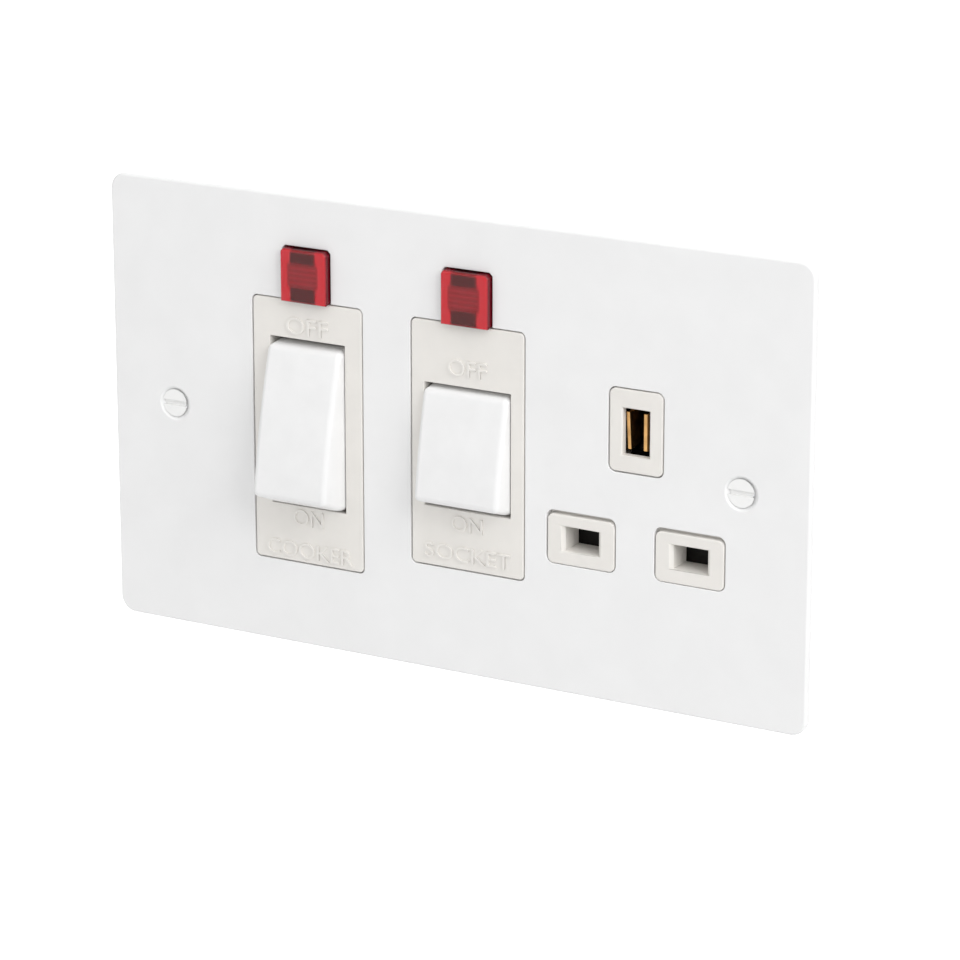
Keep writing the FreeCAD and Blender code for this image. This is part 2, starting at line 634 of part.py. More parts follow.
def pivot_posts(switch, pole):
    """Ridged post that a bar rocks on and the stop of its open end."""
    x = switch.x + pole
    half = STRIP_WIDTH / 2
    post_y = CONTACT_PIVOT_Y + POST_GAP
    post = box(x - half, x + half, post_y, SEAT_Y, -POST_THICKNESS / 2, POST_THICKNESS / 2)
    ridge = [e for e in edges_along(post, Vector(1, 0, 0)) if e.BoundBox.YMax < SEAT_Y - POST_EDGE_CHAMFER]
    post = post.makeChamfer(POST_EDGE_CHAMFER, ridge)
    _, under_y = bar_outline(switch, x)
    lean = math.radians(CONTACT_TILT)
    far = TIP_AT + POST_THICKNESS / 2
    drop = (under_y - CONTACT_PIVOT_Y) * math.cos(lean) + far * math.tan(lean)
    stop_y = CONTACT_PIVOT_Y + drop + CONTACT_GAP
    stop = box(x - half, x + half, stop_y, SEAT_Y, -far, -far + POST_THICKNESS)
    return [post, stop]


def fixed_contact(switch, pole):
    """Riser with a silver tip that meets the bar's tip squarely when the switch is ON."""
    x = switch.x + pole
    half = STRIP_WIDTH / 2
    _, under_y = bar_outline(switch, x)
    face_y = under_y + TIP_HEIGHT + CONTACT_GAP
    tip = silver_tip(x, face_y, face_y + FIXED_TIP_HEIGHT)
    tip.rotate(Vector(x, CONTACT_PIVOT_Y, 0), Vector(1, 0, 0), -CONTACT_TILT)
    riser = box(x - half, x + half, STRIP_Y - RISER_DEPTH, SEAT_Y, TIP_AT - TIP_HALF_WIDTH,
                TIP_AT + 2 * TIP_HALF_WIDTH)
    return [riser, tip]


def terminal_block(x, z):
    half = BLOCK_WIDTH / 2
    return box(x - half, x + half, BLOCK_Y, SEAT_Y, z - BLOCK_HEIGHT / 2, z + BLOCK_HEIGHT / 2)


def wire_bore(x, z, radius):
    reach = Vector(0, 0, BLOCK_HEIGHT / 2)
    centre = Vector(x, BORE_Y, z)
    return rod(radius, centre - reach, centre + reach)


def clamp_bore(x, z, radius):
    return rod(radius + CLAMP_CLEARANCE, Vector(x, BORE_Y, z), Vector(x, SEAT_Y, z))


def terminal_x(pole):
    return COOKER_X + math.copysign(TERMINAL_OFFSET, pole)


def supply_terminal(pole):
    """Clamp block at the bottom, with the strip and post that feed one contact bar."""
    x = terminal_x(pole)
    bar_x = COOKER_X + pole
    half = STRIP_WIDTH / 2
    strip = box(bar_x - half, bar_x + half, STRIP_Y, SEAT_Y, SUPPLY_Z, POST_THICKNESS)
    body = joined(terminal_block(x, SUPPLY_Z), [strip] + pivot_posts(COOKER, pole))
    return body.cut([wire_bore(x, SUPPLY_Z, WIRE_BORE_RADIUS), clamp_bore(x, SUPPLY_Z, CLAMP_RADIUS)])


def load_terminal(pole):
    """Clamp block at the top, with the strip that carries one fixed contact."""
    x = terminal_x(pole)
    bar_x = COOKER_X + pole
    half = STRIP_WIDTH / 2
    strip = box(bar_x - half, bar_x + half, STRIP_Y, SEAT_Y, TIP_AT - TIP_HALF_WIDTH, LOAD_Z)
    body = joined(terminal_block(x, LOAD_Z), [strip] + fixed_contact(COOKER, pole))
    return body.cut([wire_bore(x, LOAD_Z, WIRE_BORE_RADIUS), clamp_bore(x, LOAD_Z, CLAMP_RADIUS)])


def clamp_screw(x, z, radius, bore_radius):
    """Slotted headless screw, backed off so that its wire bore is clear."""
    end_y = SEAT_Y + CLAMP_STANDOFF
    screw = rod(radius, Vector(x, BORE_Y + bore_radius + CLAMP_TIP_GAP, z), Vector(x, end_y, z))
    return screw.cut(box(x - radius, x + radius, end_y - CLAMP_SLOT_DEPTH, end_y,
                         z - CLAMP_SLOT_WIDTH / 2, z + CLAMP_SLOT_WIDTH / 2))


def cooker_clamp_places():
    return [(terminal_x(pole), z) for pole in COOKER.poles for z in (SUPPLY_Z, LOAD_Z)]


def earth_clamp_places():
    return [(SOCKET_X + side * EARTH_BORE_OFFSET, LOAD_Z) for side in (-1, 1)]


def terminal_screws():
    return Part.makeCompound([clamp_screw(x, z, CLAMP_RADIUS, WIRE_BORE_RADIUS)
                              for x, z in cooker_clamp_places()])


def earth_screws():
    return Part.makeCompound([clamp_screw(x, z, EARTH_CLAMP_RADIUS, EARTH_BORE_RADIUS)
                              for x, z in earth_clamp_places()])


def line_link():
    """Strip from the line supply block to the post of the socket switch."""
    half = STRIP_WIDTH / 2
    left = terminal_x(POLE_OFFSET) + BLOCK_WIDTH / 2
    run = box(left, SOCKET.x + half, STRIP_Y, SEAT_Y, SUPPLY_Z - half, SUPPLY_Z + half)
    rise = box(SOCKET.x - half, SOCKET.x + half, STRIP_Y, SEAT_Y, SUPPLY_Z - half, POST_THICKNESS)
    return joined(run, [rise] + pivot_posts(SOCKET, 0.0))


def pin_clip(x):
    """Folded clip with two flared leaves that grip a flat pin from above and below."""
    grip = CLIP_GRIP / 2
    mouth = CLIP_MOUTH / 2
    back_y = CLIP_END_Y + CLIP_THICKNESS
    inner = [(CLIP_Y, mouth), (CLIP_Y + CLIP_FLARE, grip), (CLIP_END_Y, grip)]
    outer = [(back_y, grip + CLIP_THICKNESS), (CLIP_Y + CLIP_FLARE, grip + CLIP_THICKNESS),
             (CLIP_Y, mouth + CLIP_THICKNESS)]
    upper = [(y, PIN_ROW_Z + z) for y, z in inner]
    lower = [(y, PIN_ROW_Z - z) for y, z in reversed(inner)]
    outer_low = [(y, PIN_ROW_Z - z) for y, z in reversed(outer)]
    outer_high = [(y, PIN_ROW_Z + z) for y, z in outer]
    return extruded(upper + lower + outer_low + outer_high, x, CLIP_WIDTH)


def line_contact():
    """Fixed contact of the socket switch, its strip round to the line pin and the clip."""
    half = STRIP_WIDTH / 2
    x = SOCKET.x
    low = LINE_STRIP_Z - half
    high = LINE_STRIP_Z + half
    rise = box(x - half, x + half, STRIP_Y, SEAT_Y, TIP_AT - TIP_HALF_WIDTH, high)
    run = box(x - half, LINE_PIN_X + half, STRIP_Y, SEAT_Y, low, high)
    drop = box(LINE_PIN_X - half, LINE_PIN_X + half, STRIP_Y, SEAT_Y, PIN_ROW_Z - half, high)
    stem_half = CLIP_STEM / 2
    stem = box(LINE_PIN_X - stem_half, LINE_PIN_X + stem_half, CLIP_END_Y, SEAT_Y,
               PIN_ROW_Z - stem_half, PIN_ROW_Z + stem_half)
    return joined(rise, [run, drop, stem, pin_clip(LINE_PIN_X)] + fixed_contact(SOCKET, 0.0))


def neutral_contact():
    """Pin clip of the neutral, with a tail that hangs down to the neutral link."""
    leaf_z = PIN_ROW_Z - CLIP_GRIP / 2 - CLIP_THICKNESS / 2
    half = CLIP_WIDTH / 2
    tail = box(NEUTRAL_PIN_X - half, NEUTRAL_PIN_X + half, LINK_Y, LINK_BACK_Y,
               SUPPLY_Z + STRIP_WIDTH / 2, leaf_z)
    stem_half = CLIP_STEM / 2
    stem = box(NEUTRAL_PIN_X - stem_half, NEUTRAL_PIN_X + stem_half, CLIP_END_Y, SEAT_Y,
               PIN_ROW_Z - stem_half, PIN_ROW_Z + stem_half)
    return joined(pin_clip(NEUTRAL_PIN_X), [tail, stem])


def neutral_link():
    """Strip that bridges from the neutral supply block, past the line block, to the neutral clip."""
    left = terminal_x(-POLE_OFFSET)
    half = STRIP_WIDTH / 2
    right = NEUTRAL_PIN_X + CLIP_WIDTH / 2
    run = box(left - half, right, LINK_Y, LINK_BACK_Y, SUPPLY_Z - half, SUPPLY_Z + half)
    foot = box(left - half, left + half, LINK_Y, BLOCK_Y, SUPPLY_Z - half, SUPPLY_Z + half)
    return joined(run, [foot])


def earth_contact():
    """Two leaves beside the earth pin, joined above it to a strip and a two-screw block."""
    inner = EARTH_LEAF_GAP / 2
    outer = inner + EARTH_LEAF_THICKNESS
    low = EARTH_PIN_Z - EARTH_LEAF_HALF_HEIGHT
    bridge_top = EARTH_BRIDGE_Z + EARTH_LEAF_THICKNESS
    back_y = BLOCK_Y + LINK_THICKNESS
    leaves = [box(SOCKET_X + a, SOCKET_X + b, EARTH_LEAF_Y, back_y, low, bridge_top)
              for a, b in ((-outer, -inner), (inner, outer))]
    bridge = box(SOCKET_X - outer, SOCKET_X + outer, EARTH_LEAF_Y, back_y, EARTH_BRIDGE_Z, bridge_top)
    strip = box(SOCKET_X - outer, SOCKET_X + outer, BLOCK_Y, back_y, EARTH_BRIDGE_Z, LOAD_Z)
    half = EARTH_BLOCK_WIDTH / 2
    block = box(SOCKET_X - half, SOCKET_X + half, BLOCK_Y, SEAT_Y,
                LOAD_Z - BLOCK_HEIGHT / 2, LOAD_Z + BLOCK_HEIGHT / 2)
    body = joined(block, leaves + [bridge, strip])
    holes = []
    for x, z in earth_clamp_places():
        holes.append(wire_bore(x, z, EARTH_BORE_RADIUS))
        holes.append(clamp_bore(x, z, EARTH_CLAMP_RADIUS))
    return body.cut(holes)


def earth_strap():
    """Forked strap clamped under one nut that bonds the plate to the earth block."""
    stud_x, stud_z = STRAP_STUD
    leg_right = SOCKET_X + EARTH_BLOCK_WIDTH / 2
    low = stud_z - STRAP_HALF_WIDTH
    high = stud_z + STRAP_HALF_WIDTH
    strap_y = EAR_THICKNESS + STRAP_THICKNESS
    run = box(leg_right - STRAP_THICKNESS, stud_x + STRAP_HALF_WIDTH, EAR_THICKNESS, strap_y, low, high)
    leg = box(leg_right - STRAP_THICKNESS, leg_right, EAR_THICKNESS, BLOCK_Y, low, high)
    fork = STUD_RADIUS + STUD_CLEARANCE
    slot = box(stud_x - fork, stud_x + STRAP_HALF_WIDTH, EAR_THICKNESS, strap_y, stud_z - fork, stud_z + fork)
    return joined(run, [leg]).cut(slot)


def pin_hole(x, z, width, height, bevel, depth_y):
    """Pin hole with bevelled sides that lead the pin in."""
    half = width / 2
    hole = box(x - half, x + half, FRONT_Y, depth_y, z - height / 2, z + height / 2)
    mouth = half + bevel
    corners = [Vector(x - mouth, FRONT_Y, z - height / 2), Vector(x + mouth, FRONT_Y, z - height / 2),
               Vector(x + half, FRONT_Y + bevel, z - height / 2),
               Vector(x - half, FRONT_Y + bevel, z - height / 2)]
    funnel = Part.Face(Part.makePolygon(corners + corners[:1])).extrude(Vector(0, 0, height))
    return hole.fuse(funnel).removeSplitter()


def island(x, z, width, height):
    return slab(x, z, width, height, ISLAND_RADIUS - EARTH_GAP, FRONT_Y, FLANGE_THICKNESS)


def socket_front():
    """Moulding with three flush islands, pin holes, tunnels and the shutter's guides."""
    flange = box(FLANGE_SPLIT_SOCKET + FLANGE_GAP / 2, HOUSING_RIGHT, 0, FLANGE_THICKNESS,
                 HOUSING_BOTTOM, HOUSING_TOP)
    tongue = box(HOUSING_RIGHT - HOUSING_WALL, TONGUE_RIGHT, 0, FLANGE_THICKNESS, TONGUE_BOTTOM, TONGUE_TOP)
    tunnel_y = FLANGE_THICKNESS + TUNNEL_DEPTH
    solids = [tongue, island(SOCKET_X, EARTH_WINDOW_Z, EARTH_WINDOW_WIDTH - 2 * EARTH_GAP,
                             EARTH_WINDOW_HEIGHT - 2 * EARTH_GAP)]
    holes = []
    island_height = LIVE_WINDOW_HEIGHT - LIVE_TOP_GAP - LIVE_BOTTOM_GAP
    island_z = LIVE_WINDOW_Z - (LIVE_TOP_GAP - LIVE_BOTTOM_GAP) / 2
    for x in (NEUTRAL_PIN_X, LINE_PIN_X):
        solids.append(island(x, island_z, LIVE_WINDOW_WIDTH - 2 * LIVE_SIDE_GAP, island_height))
        half_width = LIVE_HOLE_WIDTH / 2 + TUNNEL_WALL
        half_height = LIVE_HOLE_HEIGHT / 2 + TUNNEL_WALL
        solids.append(box(x - half_width, x + half_width, 0, tunnel_y,
                          PIN_ROW_Z - half_height, PIN_ROW_Z + half_height))
        holes.append(pin_hole(x, PIN_ROW_Z, LIVE_HOLE_WIDTH, LIVE_HOLE_HEIGHT, LIVE_HOLE_BEVEL, tunnel_y))
    face_y = FRONT_Y + EARTH_FACE_THICKNESS
    holes.append(pin_hole(SOCKET_X, EARTH_PIN_Z, EARTH_HOLE_WIDTH, EARTH_HOLE_HEIGHT,
                          EARTH_HOLE_BEVEL, face_y))
    pocket = EARTH_POCKET_MARGIN
    holes.append(box(SOCKET_X - EARTH_WINDOW_WIDTH / 2 + pocket, SOCKET_X + EARTH_WINDOW_WIDTH / 2 - pocket,
                     face_y, FLANGE_THICKNESS, EARTH_WINDOW_Z - EARTH_WINDOW_HEIGHT / 2 + pocket,
                     EARTH_WINDOW_Z + EARTH_WINDOW_HEIGHT / 2 - pocket))
    holes.append(lug_recess(FLANGE_THICKNESS))
    return joined(flange, solids + shutter_guides()).cut(holes)


def shutter_guides():
    """Two hooked rails beside the shutter's stem and the ledge under its spring."""
    lip_y = SHUTTER_BACK_Y + SHUTTER_GAP
    back_y = lip_y + GUIDE_WALL
    inner = SHUTTER_STEM_HALF_WIDTH + SHUTTER_GAP
    outer = inner + GUIDE_WALL
    solids = []
    for side in (-1, 1):
        near, far = sorted((SOCKET_X + side * inner, SOCKET_X + side * outer))
        solids.append(box(near, far, 0, back_y, GUIDE_BOTTOM, GUIDE_TOP))
        near, far = sorted((SOCKET_X + side * (inner - GUIDE_LIP), SOCKET_X + side * outer))
        solids.append(box(near, far, lip_y, back_y, GUIDE_BOTTOM, GUIDE_TOP))
    low = HOUSING_BOTTOM + HOUSING_WALL + SPRING_LEDGE_GAP
    solids.append(box(SOCKET_X - SPRING_LEDGE_HALF_WIDTH, SOCKET_X + SPRING_LEDGE_HALF_WIDTH, 0, back_y,
                      low, low + SPRING_LEDGE_THICKNESS))
    return solids


def shutter():
    """Cross bar over the live holes, a guided stem and a blade with a ramp for the earth pin."""
    low = PIN_ROW_Z - SHUTTER_HALF_HEIGHT
    high = PIN_ROW_Z + SHUTTER_HALF_HEIGHT
    bar = box(SOCKET_X - SHUTTER_HALF_WIDTH, SOCKET_X + SHUTTER_HALF_WIDTH, SHUTTER_Y, SHUTTER_BACK_Y,
              low, high)
    stem = box(SOCKET_X - SHUTTER_STEM_HALF_WIDTH, SOCKET_X + SHUTTER_STEM_HALF_WIDTH, SHUTTER_Y,
               SHUTTER_BACK_Y, low, SHUTTER_STEM_TOP)
    ramp_low = EARTH_PIN_Z - EARTH_HOLE_HEIGHT / 2 + SHUTTER_GAP
    ramp_high = ramp_low + SHUTTER_TRAVEL - SHUTTER_GAP
    ramp_y = FLANGE_THICKNESS + RAMP_FRONT_GAP
    root_z = SHUTTER_STEM_TOP - SHUTTER_STEM_HALF_WIDTH
    outline = [(SHUTTER_Y, root_z), (SHUTTER_Y, SHUTTER_STEM_TOP), (ramp_y, ramp_low),
               (RAMP_BACK - RAMP_LAND, ramp_high), (RAMP_BACK, ramp_high), (RAMP_BACK, ramp_low),
               (SHUTTER_BACK_Y, SHUTTER_STEM_TOP), (SHUTTER_BACK_Y, root_z)]
    return joined(bar, [stem, extruded(outline, SOCKET_X, SHUTTER_BLADE_WIDTH)])


def shutter_spring():
    y = (SHUTTER_Y + SHUTTER_BACK_Y) / 2
    ledge = HOUSING_BOTTOM + HOUSING_WALL + SPRING_LEDGE_GAP + SPRING_LEDGE_THICKNESS
    start = Vector(SOCKET_X, y, ledge + SPRING_SEAT_GAP)
    end = Vector(SOCKET_X, y, PIN_ROW_Z - SHUTTER_HALF_HEIGHT - SPRING_SEAT_GAP)
    return coil(SHUTTER_SPRING_RADIUS, SHUTTER_SPRING_TURNS, start, end)


def housing_tub():
    """Open tub with cut corners, two partitions and the posts that keep the trunnions in."""
    x = (HOUSING_LEFT + HOUSING_RIGHT) / 2
    z = (HOUSING_BOTTOM + HOUSING_TOP) / 2
    width = HOUSING_RIGHT - HOUSING_LEFT
    height = HOUSING_TOP - HOUSING_BOTTOM
    tub = cut_slab(x, z, width, height, HOUSING_CORNER_CHAMFER, FLANGE_THICKNESS, REAR_Y)
    tub = tub.makeChamfer(HOUSING_EDGE_CHAMFER, edges_at_y(tub, REAR_Y))
    tub = tub.cut(box(HOUSING_LEFT + HOUSING_WALL, HOUSING_RIGHT - HOUSING_WALL, FLANGE_THICKNESS, SEAT_Y,
                      HOUSING_BOTTOM + HOUSING_WALL, HOUSING_TOP - HOUSING_WALL))
    walls = []
    for split in (FLANGE_SPLIT_COOKER, FLANGE_SPLIT_SOCKET):
        half = PARTITION_THICKNESS / 2
        walls.append(box(split - half, split + half, PARTITION_Y, SEAT_Y, HOUSING_BOTTOM, HOUSING_TOP))
    recess_x = HOUSING_RIGHT - LUG_RECESS_DEPTH
    recess_half = LUG_RECESS_HALF_HEIGHT + HOUSING_WALL
    walls.append(box(recess_x - HOUSING_WALL, HOUSING_RIGHT - HOUSING_WALL, FLANGE_THICKNESS, SEAT_Y,
                     -recess_half, recess_half))
    keeper_y = PIVOT_Y + TRUNNION_RADIUS + TRUNNION_CLEARANCE
    keeper_half = TRUNNION_RADIUS - TRUNNION_CLEARANCE
    for switch in (COOKER, SOCKET):
        for side in (-1, 1):
            ends = (switch.x + side * (switch.width / 2 + KEEPER_GAP),
                    switch.x + side * (switch.width / 2 + COLLAR_WALL))
            walls.append(box(min(ends), max(ends), keeper_y, SEAT_Y, -keeper_half, keeper_half))
    return joined(tub, walls).cut(lug_recess(REAR_Y))


def lug_recess(depth_y):
    """Room beside the right fixing screw for the lug of the wall box."""
    return box(HOUSING_RIGHT - LUG_RECESS_DEPTH, HOUSING_RIGHT, 0, depth_y,
               -LUG_RECESS_HALF_HEIGHT, LUG_RECESS_HALF_HEIGHT)


def link_slots():
    """Gaps in the partitions for the two strips that lie on the floor."""
    half = STRIP_WIDTH / 2 + LINK_SLOT_GAP
    depth = STRIP_Y - LINK_SLOT_GAP
    slots = []
    for split, z in ((FLANGE_SPLIT_COOKER, SUPPLY_Z), (FLANGE_SPLIT_SOCKET, LINE_STRIP_Z)):
        reach = PARTITION_THICKNESS
        slots.append(box(split - reach, split + reach, depth, SEAT_Y, z - half, z + half))
    return slots


def shroud(places, radius):
    """Raised bar over a row of clamp screws, and the square wells that give access to them."""
    reach = radius + SHROUD_GAP + SHROUD_WALL
    end_y = REAR_Y + SHROUD_HEIGHT
    xs = [x for x, _ in places]
    z = places[0][1]
    bar = box(min(xs) - reach, max(xs) + reach, SEAT_Y, end_y, z - reach, z + reach)
    bar = bar.makeChamfer(SHROUD_CHAMFER, edges_at_y(bar, end_y))
    half = radius + SHROUD_GAP
    wells = [box(x - half, x + half, SEAT_Y, end_y, z - half, z + half) for x in xs]
    return bar, wells


def wire_entry(x, z, radius):
    """Square opening in the wall beside a terminal's bore."""
    half = radius + WIRE_ENTRY_GAP
    outside = math.copysign(max(HOUSING_TOP, -HOUSING_BOTTOM), z)
    return box(x - half, x + half, BORE_Y - half, BORE_Y + half, min(z, outside), max(z, outside))


def ear(x, z):
    """Slotted lug that one stud passes through, clear of the front mouldings' flanges."""
    out = math.copysign(EAR_HALF_WIDTH, x)
    near = HOUSING_LEFT + HOUSING_WALL / 2 if x < 0 else HOUSING_RIGHT - HOUSING_WALL / 2
    low = z - EAR_HALF_WIDTH
    high = z + EAR_HALF_WIDTH
    lug = box(min(near, x + out), max(near, x + out), 0, EAR_THICKNESS, low, high)
    outer = [e for e in edges_along(lug, Vector(0, 1, 0)) if abs(e.CenterOfMass.x - x - out) < 1e-6]
    lug = lug.makeChamfer(EAR_CHAMFER, outer)
    flange_room = box(HOUSING_LEFT, HOUSING_RIGHT, 0, FLANGE_THICKNESS, HOUSING_BOTTOM, HOUSING_TOP)
    half = STUD_RADIUS + STUD_CLEARANCE
    inner = x - math.copysign(half, x)
    slot = box(min(inner, x + out), max(inner, x + out), 0, EAR_THICKNESS, z - half, z + half)
    return lug.cut([flange_room, slot])


def rear_housing():
    """Tub with clamp-screw shrouds, wire entries and four fixing ears."""
    additions = [ear(x, z) for x, z in STUD_PLACES]
    holes = link_slots()
    rows = [([place for place in cooker_clamp_places() if place[1] == z], CLAMP_RADIUS, WIRE_BORE_RADIUS)
            for z in (SUPPLY_Z, LOAD_Z)]
    rows.append((earth_clamp_places(), EARTH_CLAMP_RADIUS, EARTH_BORE_RADIUS))
    for places, clamp_radius, wire_radius in rows:
        bar, wells = shroud(places, clamp_radius)
        additions.append(bar)
        holes += wells
        holes += [wire_entry(x, z, wire_radius) for x, z in places]
    _, stud_z = STRAP_STUD
    notch = STRAP_HALF_WIDTH + STUD_CLEARANCE
    holes.append(box(HOUSING_RIGHT - 2 * HOUSING_WALL, HOUSING_RIGHT, FLANGE_THICKNESS,
                     EAR_THICKNESS + STRAP_THICKNESS + STUD_CLEARANCE, stud_z - notch, stud_z + notch))
    return joined(housing_tub(), additions).cut(holes)


def plate_studs():
    studs = [rod(STUD_RADIUS, Vector(x, 0, z), Vector(x, STUD_LENGTH, z)) for x, z in STUD_PLACES]
    return Part.makeCompound(studs)


def stud_nuts():
    nuts = []
    corner = NUT_ACROSS_FLATS / math.sqrt(3)
    for x, z in STUD_PLACES:
        seat_y = EAR_THICKNESS
        if (x, z) == STRAP_STUD:
            seat_y += STRAP_THICKNESS
        angles = [math.radians(a) for a in range(0, 360, 60)]
        points = [Vector(x + corner * math.cos(a), seat_y, z + corner * math.sin(a)) for a in angles]
        hexagon = Part.Face(Part.makePolygon(points + points[:1])).extrude(Vector(0, NUT_HEIGHT, 0))
        thread = rod(STUD_RADIUS + CLAMP_CLEARANCE, Vector(x, seat_y, z), Vector(x, seat_y + NUT_HEIGHT, z))
        nuts.append(hexagon.cut(thread))
    return Part.makeCompound(nuts)


def build():
    cooker_left = HOUSING_LEFT
    cooker_right = FLANGE_SPLIT_COOKER - FLANGE_GAP / 2
    socket_left = FLANGE_SPLIT_COOKER + FLANGE_GAP / 2
    socket_right = FLANGE_SPLIT_SOCKET - FLANGE_GAP / 2
    pieces = {
        "face_plate": face_plate(),
        "fixing_screws": fixing_screws(),
        "cooker_switch_frame": switch_frame(COOKER, cooker_left, cooker_right),
        "socket_switch_frame": switch_frame(SOCKET, socket_left, socket_right),
        "socket_front": socket_front(),
        "cooker_rocker": rocker(COOKER),
        "socket_rocker": rocker(SOCKET),
        "cooker_neon_lens": neon_lens(COOKER),
        "socket_neon_lens": neon_lens(SOCKET),
        "cooker_lamp": neon_lamp(COOKER),
        "socket_lamp": neon_lamp(SOCKET),
        "cooker_resistor": resistor(COOKER),
        "socket_resistor": resistor(SOCKET),
        "socket_plunger": plunger(SOCKET, 0.0),
        "socket_spring": plunger_spring(SOCKET, 0.0),
        "socket_contact": contact_bar(SOCKET, 0.0),
        "line_link": line_link(),
        "line_contact": line_contact(),
        "neutral_link": neutral_link(),
        "neutral_contact": neutral_contact(),
        "earth_contact": earth_contact(),
        "earth_strap": earth_strap(),
        "terminal_screws": terminal_screws(),
        "earth_screws": earth_screws(),
        "shutter": shutter(),
        "shutter_spring": shutter_spring(),
        "rear_housing": rear_housing(),
        "plate_studs": plate_studs(),
        "stud_nuts": stud_nuts(),
    }
    for pole_name, pole in (("neutral", -POLE_OFFSET), ("line", POLE_OFFSET)):
        pieces["cooker_plunger_" + pole_name] = plunger(COOKER, pole)
        pieces["cooker_spring_" + pole_name] = plunger_spring(COOKER, pole)
        pieces["cooker_contact_" + pole_name] = contact_bar(COOKER, pole)
        pieces["supply_terminal_" + pole_name] = supply_terminal(pole)
        pieces["load_terminal_" + pole_name] = load_terminal(pole)
    return pieces


os.makedirs("parts", exist_ok=True)
for node, shape in build().items():
    shape.exportStep("parts/" + node + ".step")
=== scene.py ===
import json
import math

import bmesh
import bpy
from mathutils import Matrix, Vector

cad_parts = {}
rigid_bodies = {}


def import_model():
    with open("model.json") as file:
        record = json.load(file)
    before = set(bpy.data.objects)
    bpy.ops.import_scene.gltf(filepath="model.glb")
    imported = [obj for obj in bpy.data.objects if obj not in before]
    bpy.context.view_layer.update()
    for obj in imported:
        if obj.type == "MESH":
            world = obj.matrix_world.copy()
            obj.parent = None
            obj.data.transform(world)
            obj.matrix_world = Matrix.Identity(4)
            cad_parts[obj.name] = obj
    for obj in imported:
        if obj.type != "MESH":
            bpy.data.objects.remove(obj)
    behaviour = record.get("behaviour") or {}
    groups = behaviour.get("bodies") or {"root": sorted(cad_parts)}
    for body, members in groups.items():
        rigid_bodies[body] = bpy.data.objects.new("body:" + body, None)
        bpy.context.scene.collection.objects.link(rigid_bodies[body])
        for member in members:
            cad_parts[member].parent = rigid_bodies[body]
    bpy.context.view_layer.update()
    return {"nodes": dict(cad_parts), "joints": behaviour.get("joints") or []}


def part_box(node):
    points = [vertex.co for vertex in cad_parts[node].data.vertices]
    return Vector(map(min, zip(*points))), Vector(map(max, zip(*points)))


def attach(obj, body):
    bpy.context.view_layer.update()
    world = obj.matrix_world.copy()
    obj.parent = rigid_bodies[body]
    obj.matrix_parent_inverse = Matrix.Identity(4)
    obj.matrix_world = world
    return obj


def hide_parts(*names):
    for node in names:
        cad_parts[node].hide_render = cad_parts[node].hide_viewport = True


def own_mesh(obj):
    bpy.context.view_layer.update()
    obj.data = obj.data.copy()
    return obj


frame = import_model()

# Cooker control unit: looks, lettering, light and camera around the fixed solids. Metres and degrees.

MM = 0.001

# Planes and places read from the solids
PLATE_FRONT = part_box("face_plate")[0][1]
SCREW_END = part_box("fixing_screws")[1][1]
STUD_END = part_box("plate_studs")[1][1]
EARTH_LOW, EARTH_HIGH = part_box("earth_contact")
EARTH_X = (EARTH_LOW[0] + EARTH_HIGH[0]) / 2
EARTH_FRONT = EARTH_LOW[1]

# Camera, aimed at a point on the front of the plate; lens and sensor in millimetres
AIM = Vector((6.797 * MM, PLATE_FRONT, -5.353 * MM))
CAMERA_AZIMUTH = 29.417
CAMERA_ELEVATION = 16.896
CAMERA_DISTANCE = 0.78707
CAMERA_NEAR = 0.01
CAMERA_LENS = 159.83
SENSOR_WIDTH = 36.0

# Edge rounding: radii, angles by which faces turn at an edge, and steps across a rounded edge
WELD_DISTANCE = 0.002 * MM
FLAT_ANGLE = 0.4
SHARP_ANGLE = 25.0
SQUARE_ANGLE = 60.0
ANY_ANGLE = 180.0
FEW_STEPS = 2
SOME_STEPS = 3
MANY_STEPS = 4
ROUND_PROFILE = 0.5
NORMAL_WEIGHT = 100
PLATE_EDGE = 0.14 * MM
MOULDING_EDGE = 0.1 * MM
MOULDING_RIM = 0.3 * MM
APERTURE_MARGIN = 0.5 * MM
HOUSING_EDGE = 0.2 * MM
METAL_EDGE = 0.08 * MM

# Lenses: rounding, gap to the moulding behind, depths between which the pocket's roof lies, its thinning
LENS_CORNER = 0.2 * MM
LENS_EDGE = 0.05 * MM
LENS_AIR_GAP = 0.1 * MM
LENS_ROOF = (0.7 * MM, 1.4 * MM)
LENS_THINNER = 0.95 * MM

# Lenses: the lower front edge, drawn down over the moulding and out to square corners
LENS_FOOT = 0.75 * MM
LENS_DROP = 0.4 * MM
LENS_CORNER_REACH = 1.0 * MM

# Lens plastic: depth to which a wall counts, where clouding starts and ends, and each colour's scatter
LENS_DEPTH = 0.9 * MM
LENS_CLOUDING = (0.2, 0.65)
LENS_SCATTER = (0.6 * MM, 0.15 * MM, 0.15 * MM)

# Rockers: the solids' sizes, with their face edges and corners rounded over
PIVOT_Y = 1.4 * MM
PIVOT_DEPTH = PIVOT_Y - PLATE_FRONT
ROCKER_ROUND = 1.1 * MM
ROCKER_ROUND_STEPS = 6
ROCKER_STEPS = 18
ROCKER_END_STEPS = 6
ROCKER_SKIRT = 2.0 * MM
ROCKER_WALL = 1.4 * MM
ROCKER_SIDE_GAP = 0.2 * MM
ROCKER_END_GAP = 0.2 * MM
ROCKER_BOTTOM_TRIM = -0.1 * MM
ROCKER_LIP = 0.55 * MM
TRUNNION_RADIUS = 1.25 * MM
TRUNNION_LENGTH = 1.6 * MM
TRUNNION_EDGE = 0.2 * MM
TRUNNION_SIDES = 32
TUBE_BORE = 1.73 * MM
TUBE_WALL = 0.7 * MM
TUBE_REACH = 6.0 * MM
TUBE_ROOT = 3.1 * MM
POLE_OFFSET = 4.0 * MM

